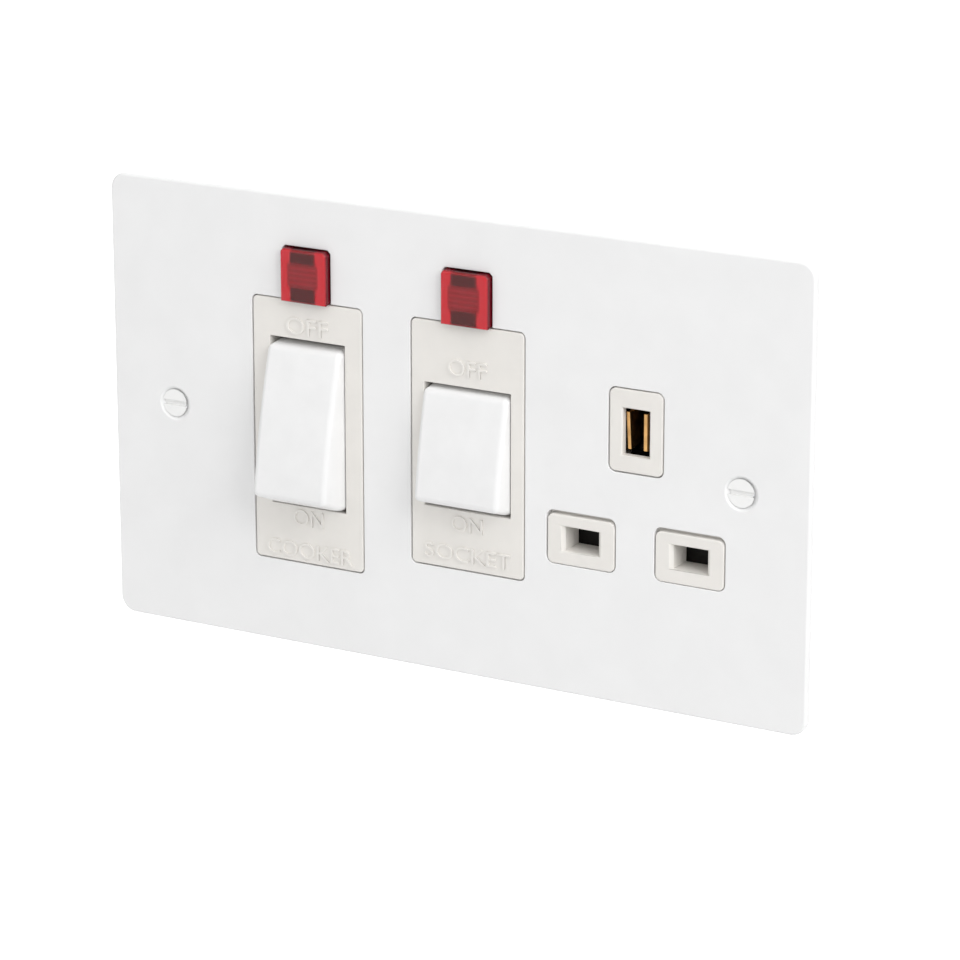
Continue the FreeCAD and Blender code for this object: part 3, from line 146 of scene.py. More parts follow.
# Lettering moulded on the switch frames: text, then centre height, capital height and width in millimetres
LETTER_RISE = 0.25 * MM
LETTER_SINK = 0.1 * MM
LETTER_EDGE = 0.03 * MM
LETTER_THIN = 0.02 * MM
COOKER_WORDS = (("OFF", 18.7, 3.3, 9.2), ("ON", -18.8, 3.2, 6.6), ("COOKER", -25.3, 3.1, 19.0))
SOCKET_WORDS = (("OFF", 15.3, 3.2, 8.2), ("ON", -14.7, 3.0, 6.7), ("SOCKET", -20.6, 3.0, 18.3))

# Fixing screws and welded studs; each stud place is an x and the height above and below the middle
FIXING_HALF_PITCH = 60.3 * MM
STUD_PLACES = ((-55.0 * MM, 24.0 * MM), (60.2 * MM, 27.0 * MM))
HEAD_RECESS = 0.28 * MM
HEAD_SCALE = 0.92
HEAD_SHIFT = 0.22 * MM
HEAD_EDGE = 0.07 * MM
SHANK_START = 1.2 * MM
SCREW_RADIUS = 1.75 * MM
SCREW_PITCH = 0.6 * MM
STUD_RADIUS = 1.5 * MM
STUD_PITCH = 0.5 * MM
STUD_WELD = 0.8 * MM

# Threads: depth as a share of the pitch, rows in each pitch, and turns over which a thread fades out
THREAD_DEPTH = 0.55
THREAD_SIDES = 24
THREAD_ROWS = 6
THREAD_LEAD = 2.0

# Spring ends of the earth contact in front of its leaves: side, bend inward, lean at the foot
LEAF_TIP_REACH = 1.5 * MM
LEAF_TIP_FORMS = ((-1, -0.1 * MM, 0.4 * MM), (1, 0.75 * MM, 0.0))
LEAF_TIP_EDGE = 0.12 * MM
LEAF_THICKNESS = 0.7 * MM
LEAF_GAP = 3.5 * MM
LEAF_HEIGHT = 7.0 * MM
EARTH_PIN_Z = 8.22 * MM

# Light and stage; each lamp is a name, azimuth, elevation, distance, size and share of white
AMBIENT = 0.56
FLOOR_Z = -0.30
FLOOR_HALF = 8.0
FLOOR_GLOW = 0.62
FLOOR_ROUGHNESS = 0.9
LAMPS = (
    ("key", 66, 32, 1.3, 0.8, 0.54),
    ("overhead", 10, 72, 1.4, 1.2, 0.24),
    ("fill", -40, 15, 1.6, 1.2, 0.1),
    ("rear", 205, 35, 1.6, 1.2, 0.35),
)


# Tones

def linear(red, green, blue):
    """A colour in display values, turned by the sRGB curve into the linear colour that a shader takes."""
    values = []
    for part in (red, green, blue):
        share = part / 255
        values.append(share / 12.92 if share <= 0.04045 else ((share + 0.055) / 1.055) ** 2.4)
    return (*values, 1.0)


def scaled(colour, factor):
    """A lighter or darker tone of a linear colour."""
    return (*(part * factor for part in colour[:3]), 1.0)


WHITE = (1.0, 1.0, 1.0, 1.0)
FLOOR_TONE = (0.8, 0.8, 0.8, 1.0)
LENS_FRONT_TONE = (0.66, 0.016, 0.03, 1.0)
# Lens sides: a darker red that paints shade on the faces turned away from the front
LENS_SIDE_PAINTED_SHADE = (0.16, 0.004, 0.012, 1.0)
CLEAR_GLASS = (0.82, 0.80, 0.76, 1.0)
CLOUDED_GLASS = (0.62, 0.60, 0.57, 1.0)
WHITE_PAINT = linear(239, 239, 239)
SCREW_PAINT = linear(243, 243, 242)
WARM_WHITE = linear(233, 230, 225)
ROCKER_WHITE = linear(236, 236, 236)
NYLON = linear(232, 230, 222)
BLACK = linear(18, 16, 14)
GREY = linear(62, 63, 66)
STEEL = linear(196, 197, 198)
COPPER = linear(214, 160, 128)
BRASS = linear(204, 160, 104)
ZINC = linear(206, 208, 212)
LACQUER = linear(205, 178, 132)

# Resistor bands: where each starts, as a share of the length, and its tone
BANDS = (
    (0.2, linear(96, 54, 24)),
    (0.4, linear(28, 26, 24)),
    (0.6, linear(226, 196, 40)),
    (0.8, linear(176, 140, 60)),
)
BAND_WIDTH = 0.08

# Directions in which drawn or rolled marks run
ALONG_X = (0.15, 1.0, 1.0)
ALONG_Y = (1.0, 0.15, 1.0)
ALONG_Z = (1.0, 1.0, 0.15)


# Materials

class Surface:
    """A material with a principled shader and the nodes that vary it over the surface."""

    def __init__(self, name):
        self.material = bpy.data.materials.new(name)
        self.material.use_nodes = True
        self.tree = self.material.node_tree
        self.shader = self.tree.nodes["Principled BSDF"]
        self.place = self.tree.nodes.new("ShaderNodeTexCoord").outputs["Object"]

    def set(self, **values):
        """Constant values on the shader's own sockets."""
        for name, value in values.items():
            self.shader.inputs[name.replace("_", " ").title().replace("Ior", "IOR")].default_value = value

    def noise(self, size, detail=3.0, stretch=None):
        """Noise with features of about the given size, longer along one axis if stretched."""
        place = self.place
        if stretch:
            mapping = self.tree.nodes.new("ShaderNodeMapping")
            mapping.inputs["Scale"].default_value = stretch
            self.tree.links.new(place, mapping.inputs["Vector"])
            place = mapping.outputs["Vector"]
        node = self.tree.nodes.new("ShaderNodeTexNoise")
        node.inputs["Scale"].default_value = 1 / size
        node.inputs["Detail"].default_value = detail
        self.tree.links.new(place, node.inputs["Vector"])
        return node.outputs["Fac"]

    def grain(self, size):
        """Cellular grain, as on a spark-eroded mould."""
        node = self.tree.nodes.new("ShaderNodeTexVoronoi")
        node.inputs["Scale"].default_value = 1 / size
        self.tree.links.new(self.place, node.inputs["Vector"])
        return node.outputs["Distance"]

    def thickness(self, reach):
        """Near one where the wall behind the surface is thicker than the reach, less where it is thin."""
        node = self.tree.nodes.new("ShaderNodeAmbientOcclusion")
        node.inside = True
        node.only_local = True
        node.inputs["Distance"].default_value = reach
        return node.outputs["AO"]

    def facing(self, axis):
        """One where the surface looks along the axis, either way, and nothing where it stands beside it."""
        normal = self.tree.nodes.new("ShaderNodeTexCoord").outputs["Normal"]
        size = self.tree.nodes.new("ShaderNodeVectorMath")
        size.operation = "ABSOLUTE"
        split = self.tree.nodes.new("ShaderNodeSeparateXYZ")
        self.tree.links.new(normal, size.inputs[0])
        self.tree.links.new(size.outputs["Vector"], split.inputs["Vector"])
        return split.outputs[axis]

    def colour(self, source, low, high, start=0.3, end=0.7):
        """Base colour that runs between two tones with the source."""
        ramp = self.tree.nodes.new("ShaderNodeValToRGB")
        ramp.color_ramp.elements[0].position = start
        ramp.color_ramp.elements[0].color = low
        ramp.color_ramp.elements[1].position = end
        ramp.color_ramp.elements[1].color = high
        self.tree.links.new(source, ramp.inputs["Fac"])
        self.tree.links.new(ramp.outputs["Color"], self.shader.inputs["Base Color"])
        return ramp

    def vary(self, name, source, low, high, start=0.0, end=1.0):
        """A shader value that runs from low to high as the source runs from start to end."""
        spread = self.tree.nodes.new("ShaderNodeMapRange")
        spread.inputs["From Min"].default_value = start
        spread.inputs["From Max"].default_value = end
        spread.inputs["To Min"].default_value = low
        spread.inputs["To Max"].default_value = high
        self.tree.links.new(source, spread.inputs["Value"])
        self.tree.links.new(spread.outputs["Result"], self.shader.inputs[name])

    def roughness(self, source, low, high):
        """Roughness that runs between two values with the source."""
        self.vary("Roughness", source, low, high)

    def bump(self, source, height, strength=1.0):
        """Fine relief of about the given height that follows the source."""
        node = self.tree.nodes.new("ShaderNodeBump")
        node.inputs["Strength"].default_value = strength
        node.inputs["Distance"].default_value = height
        self.tree.links.new(source, node.inputs["Height"])
        self.tree.links.new(node.outputs["Normal"], self.shader.inputs["Normal"])


def painted_steel(name, tone, rough):
    """Matt powder coat: an even tone with fine orange peel."""
    surface = Surface(name)
    surface.colour(surface.noise(size=9 * MM), low=scaled(tone, 0.985), high=scaled(tone, 1.01))
    surface.roughness(surface.noise(size=1.5 * MM), low=rough - 0.04, high=rough + 0.06)
    surface.bump(surface.noise(size=0.7 * MM, detail=2.0), height=0.01 * MM, strength=0.6)
    return surface.material


def moulded_plastic(name, tone, rough, grain_size, grain_height):
    """Moulded plastic with slight flow marks and the grain of its mould."""
    surface = Surface(name)
    flow = surface.noise(size=5 * MM, detail=4.0)
    surface.colour(flow, low=scaled(tone, 0.975), high=scaled(tone, 1.015))
    surface.roughness(surface.noise(size=2 * MM), low=rough - 0.05, high=rough + 0.06)
    surface.bump(surface.noise(grain_size), grain_height, strength=0.7)
    return surface.material


def sparked_plastic(name, tone, rough, gloss):
    """Dark moulding with a spark-eroded finish."""
    surface = Surface(name)
    surface.set(specular_ior_level=gloss)
    flow = surface.noise(size=4 * MM, detail=4.0)
    surface.colour(flow, low=scaled(tone, 0.85), high=scaled(tone, 1.15))
    surface.roughness(surface.noise(size=1.2 * MM), low=rough - 0.06, high=rough + 0.1)
    surface.bump(surface.grain(size=0.35 * MM), height=0.02 * MM, strength=0.6)
    return surface.material


def metal(name, tone, rough, stretch, tarnish=0.82):
    """Bare metal with drawn or rolled marks along one axis and uneven tarnish."""
    surface = Surface(name)
    surface.set(metallic=1.0)
    patches = surface.noise(size=2.5 * MM, detail=5.0)
    surface.colour(patches, low=scaled(tone, tarnish), high=scaled(tone, 1.08))
    marks = surface.noise(size=0.6 * MM, detail=4.0, stretch=stretch)
    surface.roughness(marks, low=rough - 0.08, high=rough + 0.12)
    scratches = surface.noise(size=0.25 * MM, stretch=stretch)
    surface.bump(scratches, height=0.004 * MM, strength=0.6)
    return surface.material


def red_lens(name):
    """Red plastic, clear where it is thin and cloudy where it is thick, with painted shade: a darker red on
    its sides and on faces that turn away from the front.
    """
    surface = Surface(name)
    surface.set(ior=1.3, coat_weight=0.3, coat_roughness=0.08)
    surface.set(subsurface_weight=1.0, subsurface_radius=LENS_SCATTER, subsurface_scale=1.0)
    wall = surface.thickness(LENS_DEPTH)
    start, end = LENS_CLOUDING
    surface.vary("Transmission Weight", wall, low=0.95, high=0.1, start=start, end=end)
    # Painted shade: faces that do not look along y, such as the lens's sides and its ribs' slopes, take the
    # darker red
    surface.colour(surface.facing("Y"), LENS_SIDE_PAINTED_SHADE, LENS_FRONT_TONE, start=0.3, end=0.95)
    surface.roughness(surface.noise(size=0.8 * MM), low=0.06, high=0.14)
    surface.bump(surface.noise(size=0.9 * MM), height=0.004 * MM, strength=0.5)
    return surface.material


def lamp_glass(name):
    """Thin clear bulb, a little clouded where it has run hot."""
    surface = Surface(name)
    surface.set(transmission_weight=0.85, ior=1.45)
    surface.colour(surface.noise(size=1.5 * MM), CLOUDED_GLASS, CLEAR_GLASS)
    surface.roughness(surface.noise(size=1 * MM), low=0.05, high=0.2)
    surface.bump(surface.noise(size=1.2 * MM), height=0.006 * MM, strength=0.5)
    return surface.material


def banded_body(name):
    """Resistor lacquer with colour bands along its length."""
    surface = Surface(name)
    low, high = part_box("cooker_resistor")
    split = surface.tree.nodes.new("ShaderNodeSeparateXYZ")
    surface.tree.links.new(surface.place, split.inputs["Vector"])
    along = surface.tree.nodes.new("ShaderNodeMapRange")
    along.inputs["From Min"].default_value = low[2]
    along.inputs["From Max"].default_value = high[2]
    surface.tree.links.new(split.outputs["Z"], along.inputs["Value"])
    ramp = surface.colour(along.outputs["Result"], LACQUER, LACQUER, start=0.0, end=1.0)
    ramp.color_ramp.interpolation = "CONSTANT"
    for start, tone in BANDS:
        ramp.color_ramp.elements.new(start).color = tone
        ramp.color_ramp.elements.new(start + BAND_WIDTH).color = LACQUER
    surface.roughness(surface.noise(size=1 * MM), low=0.3, high=0.45)
    surface.bump(surface.noise(size=0.8 * MM), height=0.02 * MM, strength=0.5)
    return surface.material


MATERIALS = {
    "plate_paint": painted_steel("plate_paint", WHITE_PAINT, rough=0.5),
    "screw_finish": painted_steel("screw_finish", SCREW_PAINT, rough=0.34),
    "frame_plastic": moulded_plastic("frame_plastic", WARM_WHITE, rough=0.46, grain_size=0.3 * MM,
                                     grain_height=0.012 * MM),
    "rocker_plastic": moulded_plastic("rocker_plastic", ROCKER_WHITE, rough=0.3, grain_size=0.6 * MM,
                                      grain_height=0.006 * MM),
    "lens_red": red_lens("lens_red"),
    "lamp_glass": lamp_glass("lamp_glass"),
    "resistor_body": banded_body("resistor_body"),
    "plunger_nylon": moulded_plastic("plunger_nylon", NYLON, rough=0.4, grain_size=0.5 * MM,
                                     grain_height=0.008 * MM),
    "spring_steel": metal("spring_steel", STEEL, rough=0.3, stretch=ALONG_Y),
    "contact_metal": metal("contact_metal", COPPER, rough=0.32, stretch=ALONG_Z),
    "brass": metal("brass", BRASS, rough=0.3, stretch=ALONG_X, tarnish=0.6),
    "zinc_steel": metal("zinc_steel", ZINC, rough=0.34, stretch=ALONG_Y),
    "shutter_plastic": sparked_plastic("shutter_plastic", BLACK, rough=0.5, gloss=0.15),
    "housing_plastic": sparked_plastic("housing_plastic", GREY, rough=0.55, gloss=0.5),
}


# Pieces

def body_of(node):
    """Name of the body that a solid belongs to."""
    return frame["nodes"][node].parent.name.removeprefix("body:")


def slot_of(node):
    """Name of a solid's material slot."""
    return frame["nodes"][node].material_slots[0].material.name.split(".")[0]


SLOTS = {node: slot_of(node) for node in frame["nodes"]}


def assign_materials():
    """Give each solid the material of its slot."""
    for node, slot in SLOTS.items():
        frame["nodes"][node].material_slots[0].material = MATERIALS[slot]


def new_piece(name, mesh, body, slot):
    """A piece in the scene that rides on a body and has the material of a slot."""
    piece = bpy.data.objects.new(name, mesh)
    bpy.context.scene.collection.objects.link(piece)
    piece.data.materials.append(MATERIALS[slot])
    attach(piece, body)
    return piece


def smooth_piece(name, shape, body, slot):
    """A piece from an edited mesh, with smooth shading that keeps flats flat."""
    for face in shape.faces:
        face.smooth = True
    mesh = bpy.data.meshes.new(name)
    shape.to_mesh(mesh)
    shape.free()
    piece = new_piece(name, mesh, body, slot)
    piece.modifiers.new("even normals", "WEIGHTED_NORMAL").weight = NORMAL_WEIGHT
    return piece


def replace(node, shape):
    """Show an edited mesh in place of a solid."""
    piece = smooth_piece(node + "_finished", shape, body_of(node), SLOTS[node])
    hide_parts(node)
    return piece


def copy_of(node):
    """Editable copy of a solid's mesh, with its flat faces whole again."""
    shape = bmesh.new()
    shape.from_mesh(frame["nodes"][node].data)
    bmesh.ops.remove_doubles(shape, verts=shape.verts, dist=WELD_DISTANCE)
    bmesh.ops.dissolve_limit(shape, angle_limit=math.radians(FLAT_ANGLE), verts=shape.verts,
                             edges=shape.edges)
    return shape


def bevel(shape, edges, radius, steps, clamp=False):
    """Round over the given edges of a mesh."""
    bmesh.ops.bevel(shape, geom=edges, offset=radius, offset_type="OFFSET", segments=steps,
                    profile=ROUND_PROFILE, affect="EDGES", clamp_overlap=clamp)


def round_edges(shape, radius, low, high, steps):
    """Round over the edges of a mesh whose faces turn by an angle between two limits."""
    edges = [edge for edge in shape.edges if edge.is_manifold
             and math.radians(low) < edge.calc_face_angle() <= math.radians(high)]
    bevel(shape, edges, radius, steps)


def join_rings(shape, first, second):
    """Band of faces between two rings that have as many points."""
    for index in range(len(first)):
        after = (index + 1) % len(first)
        shape.faces.new((first[index], first[after], second[after], second[index]))


def soften(node, radius, steps):
    """A copy of a solid with rounded edges, in place of the plain one."""
    shape = copy_of(node)
    round_edges(shape, radius, SHARP_ANGLE, ANY_ANGLE, steps)
    replace(node, shape)


def soften_all():
    """Rounded edges for the solids that need no other change."""
    soften("face_plate", PLATE_EDGE, SOME_STEPS)
    soften("rear_housing", HOUSING_EDGE, SOME_STEPS)
    for node in ("stud_nuts", "shutter", "earth_strap", "terminal_screws", "earth_screws"):
        soften(node, METAL_EDGE, FEW_STEPS)


# Lenses

def is_foot(vert, low):
    """True for a point at a lens's lower edge in front of the plate."""
    return vert.co.y < PLATE_FRONT and vert.co.z < low[2] + LENS_FOOT


def square_lower_corners(shape, low, high):
    """Draw the cut corners at a lens's lower front edge out to square ones."""
    middle = (low[0] + high[0]) / 2
    foot = [vert for vert in shape.verts if is_foot(vert, low)]
    for level in sorted({round(vert.co.y / WELD_DISTANCE) for vert in foot}):
        ring = [vert for vert in foot if round(vert.co.y / WELD_DISTANCE) == level]
        side = max(abs(vert.co.x - middle) for vert in ring)
        bottom = min(vert.co.z for vert in ring)
        for vert in ring:
            if abs(vert.co.x - middle) > side - LENS_CORNER_REACH:
                vert.co.x = middle + math.copysign(side, vert.co.x - middle)
                vert.co.z = bottom
    bmesh.ops.remove_doubles(shape, verts=shape.verts, dist=WELD_DISTANCE)


def lenses():
    """Red caps with a thin roof over the lamp and an air gap to the moulding behind them."""
    for node in ("cooker_neon_lens", "socket_neon_lens"):
        low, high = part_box(node)
        shape = copy_of(node)
        for vert in shape.verts:
            if vert.co.y > high[1] - WELD_DISTANCE:
                vert.co.y -= LENS_AIR_GAP
            if vert.co.z < low[2] + WELD_DISTANCE:
                vert.co.z += LENS_AIR_GAP
            if LENS_ROOF[0] < vert.co.y - low[1] < LENS_ROOF[1]:
                vert.co.y -= LENS_THINNER
            if is_foot(vert, low):
                vert.co.z -= LENS_DROP
        square_lower_corners(shape, low, high)
        round_edges(shape, LENS_CORNER, SHARP_ANGLE, SQUARE_ANGLE, MANY_STEPS)
        round_edges(shape, LENS_EDGE, SQUARE_ANGLE, ANY_ANGLE, FEW_STEPS)
        replace(node, shape)


# Rockers

class Rocker:
    """Sizes of one rocker, worked out as its solid is: level first, then turned to OFF."""

    def __init__(self, node, width, height, tilt, proud, crown, top_trim, poles):
        low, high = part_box(node)
        self.node = node
        self.x = (low[0] + high[0]) / 2
        self.tilt = math.radians(tilt)
        self.half_width = width / 2 - ROCKER_SIDE_GAP
        self.rise = (proud + PIVOT_DEPTH) / math.cos(self.tilt)
        self.end_rise = self.rise - crown
        self.end_radius = height / 2 - ROCKER_END_GAP
        lean = self.end_rise * math.sin(self.tilt)
        self.half_length = (height / 2 - lean) / math.cos(self.tilt)
        self.top_trim = top_trim
        self.poles = poles

    def face_height(self, along):
        """Height of the crowned face over the pivot at a place along the rocker."""
        crown = self.rise - self.end_rise
        return self.rise - crown * (along / self.half_length) ** 2

    def end_line(self, sign, inset):
        """Points (y, z) down one end: an arc about the pivot that clears the aperture as it turns."""
        trim = self.top_trim if sign > 0 else ROCKER_BOTTOM_TRIM
        length = self.half_length - trim - inset
        front = inset - self.face_height(length)
        radius = self.end_radius - max(0, trim - ROCKER_LIP) - inset
        points = [(front, sign * length)]
        for step in range(1, ROCKER_END_STEPS + 1):
            y = front + (ROCKER_SKIRT - front) * step / ROCKER_END_STEPS
            arc = math.sqrt(radius ** 2 - y ** 2)
            points.append((y, sign * max(length, arc)))
        return points


COOKER = Rocker("cooker_rocker", width=16.4 * MM, height=32.8 * MM, tilt=12.5, proud=4.95 * MM,
                crown=0.7 * MM, top_trim=1.35 * MM, poles=(-POLE_OFFSET, POLE_OFFSET))
SOCKET = Rocker("socket_rocker", width=18.3 * MM, height=23.9 * MM, tilt=10.5, proud=3.2 * MM,
                crown=0.4 * MM, top_trim=0.9 * MM, poles=(0.0,))


def rocker_skin(shape, rocker, inset):
    """Open shell of a level rocker about its pivot; returns the edges that are rounded over."""
    top = rocker.end_line(1, inset)
    bottom = rocker.end_line(-1, inset)
    face = []
    for step in range(1, ROCKER_STEPS):
        z = bottom[0][1] + (top[0][1] - bottom[0][1]) * step / ROCKER_STEPS
        face.append((inset - rocker.face_height(z), z))
    outline = bottom[::-1] + face + top
    half_width = rocker.half_width - inset
    left, right = ([shape.verts.new((x, y, z)) for y, z in outline] for x in (-half_width, half_width))
    for step in range(len(outline) - 1):
        shape.faces.new((left[step], left[step + 1], right[step + 1], right[step]))
    shape.faces.new(left[::-1])
    shape.faces.new(right)
    bmesh.ops.recalc_face_normals(shape, faces=shape.faces)
    mouth = {left[0], left[-1], right[0], right[-1]}
    rounded = []
    for edge in shape.edges:
        ends = set(edge.verts)
        if not ends <= mouth and edge.calc_face_angle(0) > math.radians(SHARP_ANGLE):
            rounded.append(edge)
    return rounded


def add_cylinder(shape, radius, length, matrix, edge_radius):
    """Closed cylinder with rounded rims, along z of the given matrix."""
    made = bmesh.ops.create_cone(shape, cap_ends=True, segments=TRUNNION_SIDES, radius1=radius,
                                 radius2=radius, depth=length, matrix=matrix)
    verts = set(made["verts"])
    rims = []
    for edge in shape.edges:
        at_cap = any(len(face.verts) == TRUNNION_SIDES for face in edge.link_faces)
        if at_cap and verts.issuperset(edge.verts):
            rims.append(edge)
    bevel(shape, rims, edge_radius, FEW_STEPS, clamp=True)


def add_square_tube(shape, x, root_y):
    """Square tube for a plunger along y, open at its mouth and closed at its root."""
    outside = TUBE_BORE + TUBE_WALL
    loops = []
    for size, y in ((outside, root_y), (outside, TUBE_REACH), (TUBE_BORE, TUBE_REACH), (TUBE_BORE, root_y)):
        corners = ((-size, -size), (size, -size), (size, size), (-size, size))
        loops.append([shape.verts.new((x + across, y, up)) for across, up in corners])
    for first, second in zip(loops, loops[1:]):
        join_rings(shape, first, second)
    shape.faces.new(loops[0][::-1])
    shape.faces.new(loops[-1])


def rocker_shape(rocker):
    """Hollow rocker with a rounded face, two trunnions and its plunger tubes."""
    shell = bmesh.new()
    rounded = rocker_skin(shell, rocker, 0)
    bevel(shell, rounded, ROCKER_ROUND, ROCKER_ROUND_STEPS)
    rocker_skin(shell, rocker, ROCKER_WALL)
    rims = [edge for edge in shell.edges if edge.is_boundary]
    bmesh.ops.bridge_loops(shell, edges=rims)
    for side in (-1, 1):
        length = TRUNNION_LENGTH + ROCKER_WALL
        middle = side * (rocker.half_width + TRUNNION_LENGTH - length / 2)
        turn = Matrix.Translation((middle, 0, 0)) @ Matrix.Rotation(math.pi / 2, 4, "Y")
        add_cylinder(shell, TRUNNION_RADIUS, length, turn, TRUNNION_EDGE)
    for pole in rocker.poles:
        add_square_tube(shell, pole, TUBE_ROOT - rocker.end_rise)
    bmesh.ops.recalc_face_normals(shell, faces=shell.faces)
    tilted = Matrix.Translation((rocker.x, PIVOT_Y, 0)) @ Matrix.Rotation(-rocker.tilt, 4, "X")
    bmesh.ops.transform(shell, matrix=tilted, verts=shell.verts)
    return shell


def rockers():
    """Both rockers, shown OFF."""
    for rocker in (COOKER, SOCKET):
        replace(rocker.node, rocker_shape(rocker))


# Mouldings and springs

def is_rim(edge):
    """True for an edge round the outside of a moulding's front, not round an aperture or a hole."""
    if any(abs(vert.co.y - PLATE_FRONT) > WELD_DISTANCE for vert in edge.verts):
        return False
    middle = (edge.verts[0].co + edge.verts[1].co) / 2
    for rocker in (COOKER, SOCKET):
        beside = abs(middle.x - rocker.x) < rocker.half_width + APERTURE_MARGIN
        if beside and abs(middle.z) < rocker.end_radius + APERTURE_MARGIN:
            return False
    return edge.is_manifold and edge.calc_face_angle() > math.radians(SQUARE_ANGLE)


def mouldings():
    """Switch frames and socket front, with the rims that show in the plate rounded over more."""
    for node in ("cooker_switch_frame", "socket_switch_frame", "socket_front"):
        shape = copy_of(node)
        rims = [edge for edge in shape.edges if is_rim(edge)]
        bevel(shape, rims, MOULDING_RIM, MANY_STEPS)
        round_edges(shape, MOULDING_EDGE, SHARP_ANGLE, ANY_ANGLE, SOME_STEPS)
        replace(node, shape)


def springs():
    """Coils shown as smooth copies of their solids, each given a mesh of its own."""
    for joint in frame["joints"]:
        for entry in joint.get("deforming_nodes", ()):
            shape = copy_of(entry["node"])
            piece = replace(entry["node"], shape)
            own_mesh(piece)


# Screws and studs

def cut_off(shape, y, keep_behind):
    """Cut a mesh at a plane across y, keep one side and close the cut."""
    geometry = shape.verts[:] + shape.edges[:] + shape.faces[:]
    made = bmesh.ops.bisect_plane(shape, geom=geometry, plane_co=(0, y, 0), plane_no=(0, 1, 0),
                                  clear_inner=keep_behind, clear_outer=not keep_behind)
    cut = [item for item in made["geom_cut"] if isinstance(item, bmesh.types.BMEdge)]
    bmesh.ops.edgeloop_fill(shape, edges=cut)


def add_thread(shape, x, z, radius, pitch, start, end):
    """Threaded rod along y: rings whose radius follows the helix, fading out at both ends."""
    rows = int((end - start) / pitch * THREAD_ROWS)
    depth = THREAD_DEPTH * pitch
    rings = []
    for row in range(rows + 1):
        y = start + (end - start) * row / rows
        lead = min(1.0, min(row, rows - row) / (THREAD_LEAD * THREAD_ROWS))
        ring = []
        for side in range(THREAD_SIDES):
            turn = side / THREAD_SIDES
            phase = (y / pitch - turn) % 1.0
            crest = 1 - abs(2 * phase - 1)
            reach = radius - depth * (1 - lead * crest)
            angle = 2 * math.pi * turn
            ring.append(shape.verts.new((x + reach * math.cos(angle), y, z + reach * math.sin(angle))))
        rings.append(ring)
    for first, second in zip(rings, rings[1:]):
        join_rings(shape, second, first)
    shape.faces.new(rings[0])
    shape.faces.new(rings[-1][::-1])


def fixing_screws():
    """Painted slotted heads a little below the plate's face and off centre, on bare threaded shanks."""
    shape = copy_of("fixing_screws")
    cut_off(shape, PLATE_FRONT + HEAD_RECESS, True)
    cut_off(shape, SHANK_START, False)
    for vert in shape.verts:
        middle = math.copysign(FIXING_HALF_PITCH, vert.co.x)
        vert.co.x = middle + (vert.co.x - middle) * HEAD_SCALE - HEAD_SHIFT
        vert.co.z *= HEAD_SCALE
    round_edges(shape, HEAD_EDGE, SHARP_ANGLE, ANY_ANGLE, SOME_STEPS)
    replace("fixing_screws", shape)
    shanks = bmesh.new()
    for x in (-FIXING_HALF_PITCH, FIXING_HALF_PITCH):
        add_thread(shanks, x - HEAD_SHIFT, 0.0, SCREW_RADIUS, SCREW_PITCH, SHANK_START, SCREW_END)
    smooth_piece("fixing_screw_shanks", shanks, body_of("fixing_screws"), "zinc_steel")


def plate_studs():
    """Welded studs with their threads."""
    shape = copy_of("plate_studs")
    cut_off(shape, STUD_WELD, False)
    for x, half_height in STUD_PLACES:
        for z in (-half_height, half_height):
            add_thread(shape, x, z, STUD_RADIUS, STUD_PITCH, STUD_WELD, STUD_END)
    replace("plate_studs", shape)


# Earth contact and lettering

def leaf_ring(shape, side, y, bend, lean):
    """Corners of one leaf at a depth, bent towards the pin and leaning at the foot."""
    near = EARTH_X + side * (LEAF_GAP / 2 - bend)
    far = near + side * LEAF_THICKNESS
    low = EARTH_PIN_Z - LEAF_HEIGHT / 2
    high = EARTH_PIN_Z + LEAF_HEIGHT / 2
    corners = ((near + lean, y, low), (far + lean, y, low), (far, y, high), (near, y, high))
    return [shape.verts.new(corner) for corner in corners]


def earth_leaf_tips():
    """Bent front ends of the two leaves that are seen in the earth hole."""
    shape = bmesh.new()
    for side, bend, lean in LEAF_TIP_FORMS:
        root = leaf_ring(shape, side, EARTH_FRONT + LEAF_TIP_EDGE, 0.0, 0.0)
        tip = leaf_ring(shape, side, EARTH_FRONT - LEAF_TIP_REACH, bend, lean)
        join_rings(shape, root, tip)
        shape.faces.new(root)
        shape.faces.new(tip)
    bmesh.ops.recalc_face_normals(shape, faces=shape.faces)
    round_edges(shape, LEAF_TIP_EDGE, SHARP_ANGLE, ANY_ANGLE, SOME_STEPS)
    smooth_piece("earth_leaf_tips", shape, body_of("earth_contact"), SLOTS["earth_contact"])


def word(name, body, text, x, z, capital, width):
    """Raised word on the front of a switch frame, fitted to a capital height and a width."""
    curve = bpy.data.curves.new(text, "FONT")
    curve.body = text
    curve.align_x = "CENTER"
    curve.align_y = "CENTER"
    curve.size = capital
    curve.extrude = (LETTER_RISE + LETTER_SINK) / 2
    curve.bevel_depth = LETTER_EDGE
    curve.bevel_resolution = FEW_STEPS
    curve.offset = -LETTER_THIN
    piece = bpy.data.objects.new(name, curve)
    bpy.context.scene.collection.objects.link(piece)
    bpy.context.view_layer.update()
    piece.scale = (width / piece.dimensions.x, capital / piece.dimensions.y, 1)
    piece.rotation_euler = (math.pi / 2, 0, 0)
    piece.location = (x, PLATE_FRONT + (LETTER_SINK - LETTER_RISE) / 2, z)
    curve.materials.append(MATERIALS["frame_plastic"])
    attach(piece, body)


def lettering():
    """The words of both switch frames."""
    for place, rocker, words in (("cooker", COOKER, COOKER_WORDS), ("socket", SOCKET, SOCKET_WORDS)):
        for text, z, capital, width in words:
            name = f"{place}_word_{text.lower()}"
            word(name, "unit", text, rocker.x, z * MM, capital * MM, width * MM)


# Light, floor and camera

def direction(azimuth, elevation):
    """Unit vector towards a viewpoint: azimuth from the front to the right, elevation up."""
    azimuth = math.radians(azimuth)
    elevation = math.radians(elevation)
    return Vector((math.sin(azimuth) * math.cos(elevation), -math.cos(azimuth) * math.cos(elevation),
                   math.sin(elevation)))


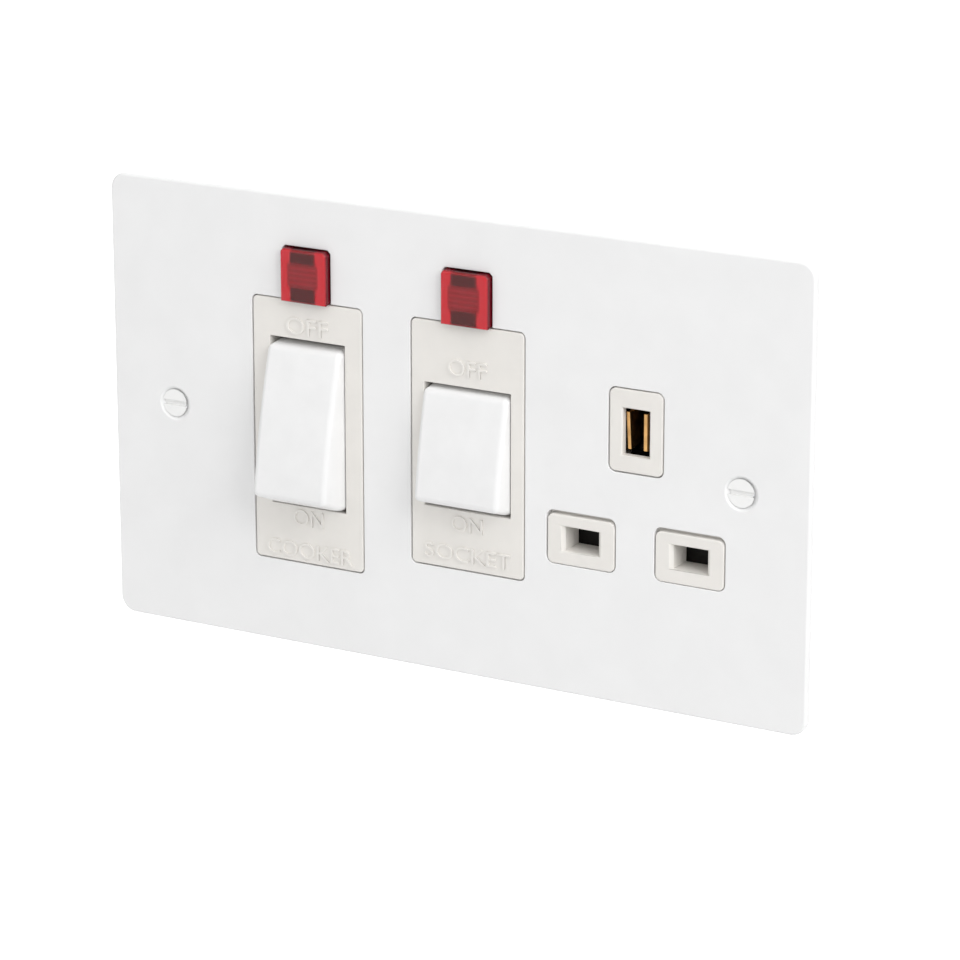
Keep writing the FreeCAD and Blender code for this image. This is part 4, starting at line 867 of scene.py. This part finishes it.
def softbox(name, azimuth, elevation, distance, size, share):
    """Square lamp aimed at the origin that lights a facing white surface to the given share."""
    lamp = bpy.data.lights.new(name, "AREA")
    lamp.shape = "SQUARE"
    lamp.size = size
    lamp.energy = share * math.pi ** 2 * distance ** 2
    holder = bpy.data.objects.new(name, lamp)
    towards = direction(azimuth, elevation)
    holder.location = towards * distance
    holder.rotation_euler = towards.to_track_quat("Z", "Y").to_euler()
    bpy.context.scene.collection.objects.link(holder)


def seen_ray(tree):
    """One for a ray that shows the surroundings: from the camera, in gloss or through glass."""
    path = tree.nodes.new("ShaderNodeLightPath")
    total = path.outputs["Is Camera Ray"]
    for kind in ("Is Glossy Ray", "Is Transmission Ray"):
        larger = tree.nodes.new("ShaderNodeMath")
        larger.operation = "MAXIMUM"
        tree.links.new(total, larger.inputs[0])
        tree.links.new(path.outputs[kind], larger.inputs[1])
        total = larger.outputs["Value"]
    return total


def studio_world():
    """White where it is seen directly, in gloss or through glass, and dimmer as a light."""
    world = bpy.data.worlds.new("studio")
    world.use_nodes = True
    tree = world.node_tree
    background = tree.nodes["Background"]
    background.inputs["Color"].default_value = WHITE
    level = tree.nodes.new("ShaderNodeMapRange")
    level.inputs["To Min"].default_value = AMBIENT
    level.inputs["To Max"].default_value = 1.0
    tree.links.new(seen_ray(tree), level.inputs["Value"])
    tree.links.new(level.outputs["Result"], background.inputs["Strength"])
    bpy.context.scene.world = world


def floor_material():
    """Matt pale finish that glows only where it is seen, so that it reads white."""
    material = bpy.data.materials.new("floor")
    material.use_nodes = True
    tree = material.node_tree
    shader = tree.nodes["Principled BSDF"]
    shader.inputs["Base Color"].default_value = FLOOR_TONE
    shader.inputs["Roughness"].default_value = FLOOR_ROUGHNESS
    shader.inputs["Emission Color"].default_value = WHITE
    glow = tree.nodes.new("ShaderNodeMapRange")
    glow.inputs["To Max"].default_value = FLOOR_GLOW
    tree.links.new(seen_ray(tree), glow.inputs["Value"])
    tree.links.new(glow.outputs["Result"], shader.inputs["Emission Strength"])
    return material


def pale_floor():
    """Wide matt floor that reads white to the camera and keeps the object's shadow."""
    mesh = bpy.data.meshes.new("floor")
    sides = ((-1, -1), (1, -1), (1, 1), (-1, 1))
    corners = [(x * FLOOR_HALF, y * FLOOR_HALF, FLOOR_Z) for x, y in sides]
    mesh.from_pydata(corners, [], [(0, 1, 2, 3)])
    mesh.materials.append(floor_material())
    floor = bpy.data.objects.new("floor", mesh)
    bpy.context.scene.collection.objects.link(floor)


def place_camera():
    """Camera that looks at the front of the plate from the right and above."""
    data = bpy.data.cameras.new("camera")
    data.sensor_width = SENSOR_WIDTH
    data.lens = CAMERA_LENS
    data.clip_start = CAMERA_NEAR
    holder = bpy.data.objects.new("camera", data)
    towards = direction(CAMERA_AZIMUTH, CAMERA_ELEVATION)
    holder.location = AIM + towards * CAMERA_DISTANCE
    holder.rotation_euler = towards.to_track_quat("Z", "Y").to_euler()
    bpy.context.scene.collection.objects.link(holder)
    bpy.context.scene.camera = holder


assign_materials()
soften_all()
mouldings()
lenses()
rockers()
springs()
fixing_screws()
plate_studs()
earth_leaf_tips()
lettering()
studio_world()
pale_floor()
for lamp_values in LAMPS:
    softbox(*lamp_values)
place_camera()
bpy.context.scene.view_settings.view_transform = "Standard"
